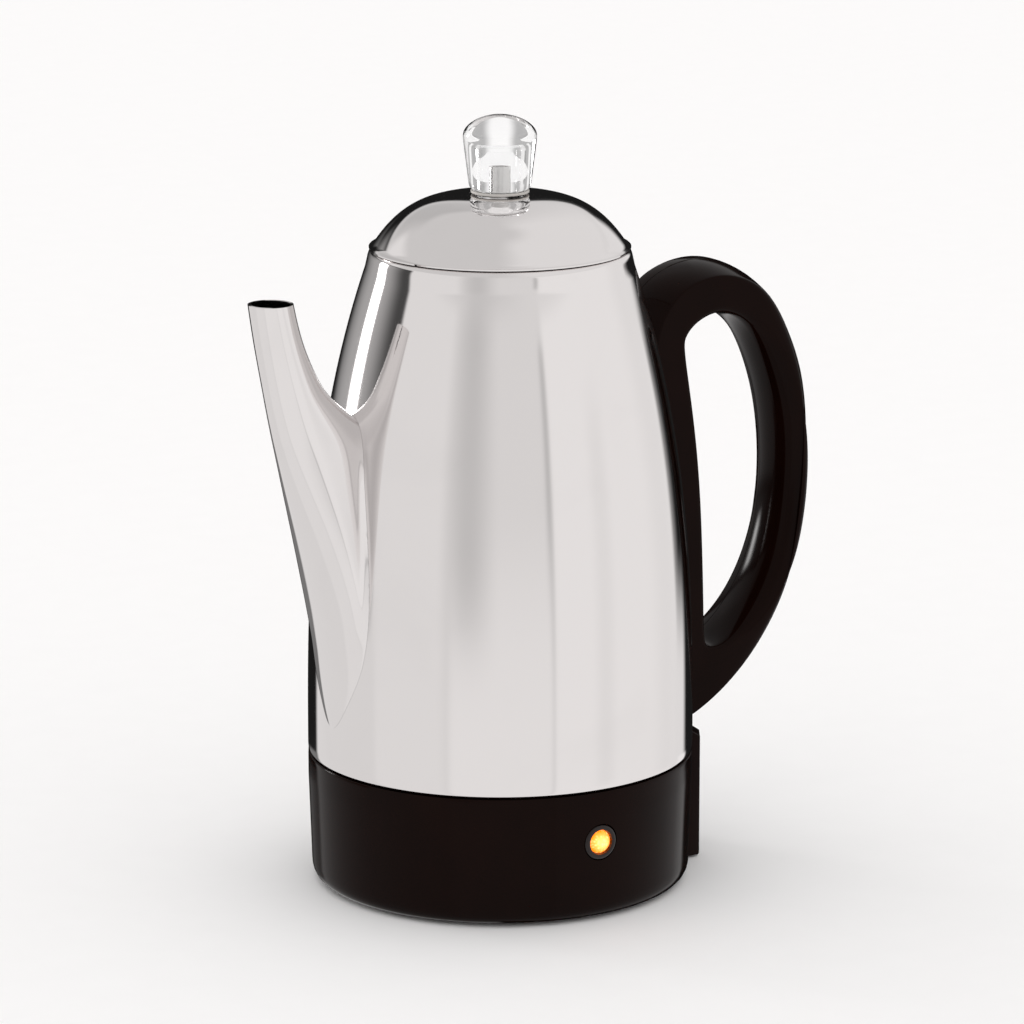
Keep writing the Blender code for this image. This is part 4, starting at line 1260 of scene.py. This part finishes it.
class PERCOLATOR_OT_stage(bpy.types.Operator):
    """Sets up the floor, the soft studio light and the camera."""
    bl_idname = "percolator.stage"
    bl_label = "Stage"

    def execute(self, context):
        setup = context.scene.percolator_stage
        self.floor(setup)
        self.studio(context.scene, setup)
        self.camera(context.scene, setup)
        context.scene.view_settings.view_transform = "Standard"
        context.scene.view_settings.look = "None"
        return {"FINISHED"}

    def floor(self, setup):
        bm = bmesh.new()
        bmesh.ops.create_circle(bm, cap_ends=True, segments=96, radius=9.0)
        floor = piece("studio_floor", bm)
        mat, tree, shader, place = blank_material("studio_floor")
        grain = node(tree, "ShaderNodeTexNoise", {"Vector": place, "Scale": 60.0,
                                                  "Detail": 4.0})
        set_inputs(tree, shader, {
            "Base Color": mixed(tree, grain.outputs["Fac"], setup.floor,
                                shades(setup.floor, 1.02)),
            "Roughness": 0.9,
            "Specular IOR Level": 0.1,
        })
        floor.data.materials.append(mat)
        floor.visible_glossy = False

    def studio(self, scene, setup):
        world = bpy.data.worlds.new("studio")
        world.use_nodes = True
        scene.world = world
        tree = world.node_tree
        direction = node(tree, "ShaderNodeTexCoord").outputs["Generated"]
        turn = setup.camera_turn
        towards = dot(tree, direction, (-cos(turn), -sin(turn), 0.0))
        right = dot(tree, direction, (sin(turn), -cos(turn), 0.0))
        side = angle_of(tree, right, towards)
        up = node(tree, "ShaderNodeSeparateXYZ", {"Vector": direction}).outputs["Z"]
        height = maths(tree, "MULTIPLY", maths(tree, "ARCSINE", up), DEGREES)
        light = STUDIO_DARK
        for left, to, soft, low, high, soft_up, brightness in PANELS:
            mask = maths(tree, "MULTIPLY", window(tree, side, left, to, soft),
                         window(tree, height, low, high, soft_up))
            light = mixed_value(tree, mask, light, brightness)
        paths = node(tree, "ShaderNodeLightPath")
        plain = maths(tree, "MAXIMUM", paths.outputs["Is Camera Ray"],
                      paths.outputs["Is Diffuse Ray"])
        away = maths(tree, "ABSOLUTE", side)
        white = smooth_step(tree, away, WHITE_FROM - BEHIND_SOFT, WHITE_FROM + BEHIND_SOFT)
        rim = mixed_value(tree, white, BEHIND_GREY, 1.0)
        behind = smooth_step(tree, away, BEHIND_FROM - BEHIND_SOFT, BEHIND_FROM + BEHIND_SOFT)
        through = mixed_value(tree, behind, light, rim)
        light = mixed_value(tree, paths.outputs["Is Transmission Ray"], light, through)
        shade = mixed_value(tree, plain, light, ROOM_LIGHT)
        back = tree.nodes["Background"]
        tree.links.new(shade, back.inputs["Strength"])
        back.inputs["Color"].default_value = (1.0, 0.985, 0.98, 1.0)

    def camera(self, scene, setup):
        turn, tilt = setup.camera_turn, setup.camera_tilt
        data = bpy.data.cameras.new("camera")
        data.lens = setup.camera_lens
        data.dof.use_dof = False
        camera = bpy.data.objects.new("camera", data)
        scene.collection.objects.link(camera)
        camera.location = (-setup.camera_distance * cos(turn),
                           -setup.camera_distance * sin(turn), setup.camera_height)
        heading = turn - setup.camera_aim
        look = Vector((cos(heading) * cos(tilt), sin(heading) * cos(tilt), -sin(tilt)))
        camera.rotation_euler = look.to_track_quat("-Z", "Y").to_euler()
        scene.camera = camera


# Add-on ---------------------------------------------------------------------------------------

OPERATORS = [
    PERCOLATOR_OT_stage,
    PERCOLATOR_OT_pot,
    PERCOLATOR_OT_spout,
    PERCOLATOR_OT_base,
    PERCOLATOR_OT_indicator,
    PERCOLATOR_OT_inlet,
    PERCOLATOR_OT_handle,
    PERCOLATOR_OT_pump,
    PERCOLATOR_OT_basket,
    PERCOLATOR_OT_lid,
    PERCOLATOR_OT_knob,
    PERCOLATOR_OT_inner_pieces,
]
SETTINGS = {
    "percolator_pot": PercolatorPotSizes,
    "percolator_lid": PercolatorLidSizes,
    "percolator_handle": PercolatorHandleSizes,
    "percolator_base": PercolatorBaseSizes,
    "percolator_finishes": PercolatorFinishes,
    "percolator_stage": PercolatorStageSetup,
}


class VIEW3D_PT_percolator(bpy.types.Panel):
    """Lists the percolator's sizes, colours and pieces."""
    bl_label = "Percolator"
    bl_idname = "VIEW3D_PT_percolator"
    bl_space_type = "VIEW_3D"
    bl_region_type = "UI"
    bl_category = "Percolator"

    def draw(self, context):
        for name, group in SETTINGS.items():
            box = self.layout.box()
            for key in group.__annotations__:
                box.prop(getattr(context.scene, name), key)
        for operator in OPERATORS:
            self.layout.operator(operator.bl_idname)


def register():
    for group in SETTINGS.values():
        bpy.utils.register_class(group)
    for name, group in SETTINGS.items():
        setattr(bpy.types.Scene, name, PointerProperty(type=group))
    for operator in OPERATORS:
        bpy.utils.register_class(operator)
    bpy.utils.register_class(VIEW3D_PT_percolator)


def unregister():
    bpy.utils.unregister_class(VIEW3D_PT_percolator)
    for operator in reversed(OPERATORS):
        bpy.utils.unregister_class(operator)
    for name in SETTINGS:
        delattr(bpy.types.Scene, name)
    for group in reversed(list(SETTINGS.values())):
        bpy.utils.unregister_class(group)


def write_sizes():
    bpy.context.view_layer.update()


def main():
    register()
    for operator in OPERATORS:
        group, name = operator.bl_idname.split(".")
        result = getattr(getattr(bpy.ops, group), name)()
        if result != {"FINISHED"}:
            raise RuntimeError("%s didn't finish" % operator.bl_idname)
    write_sizes()


if __name__ == "__main__":
    main()
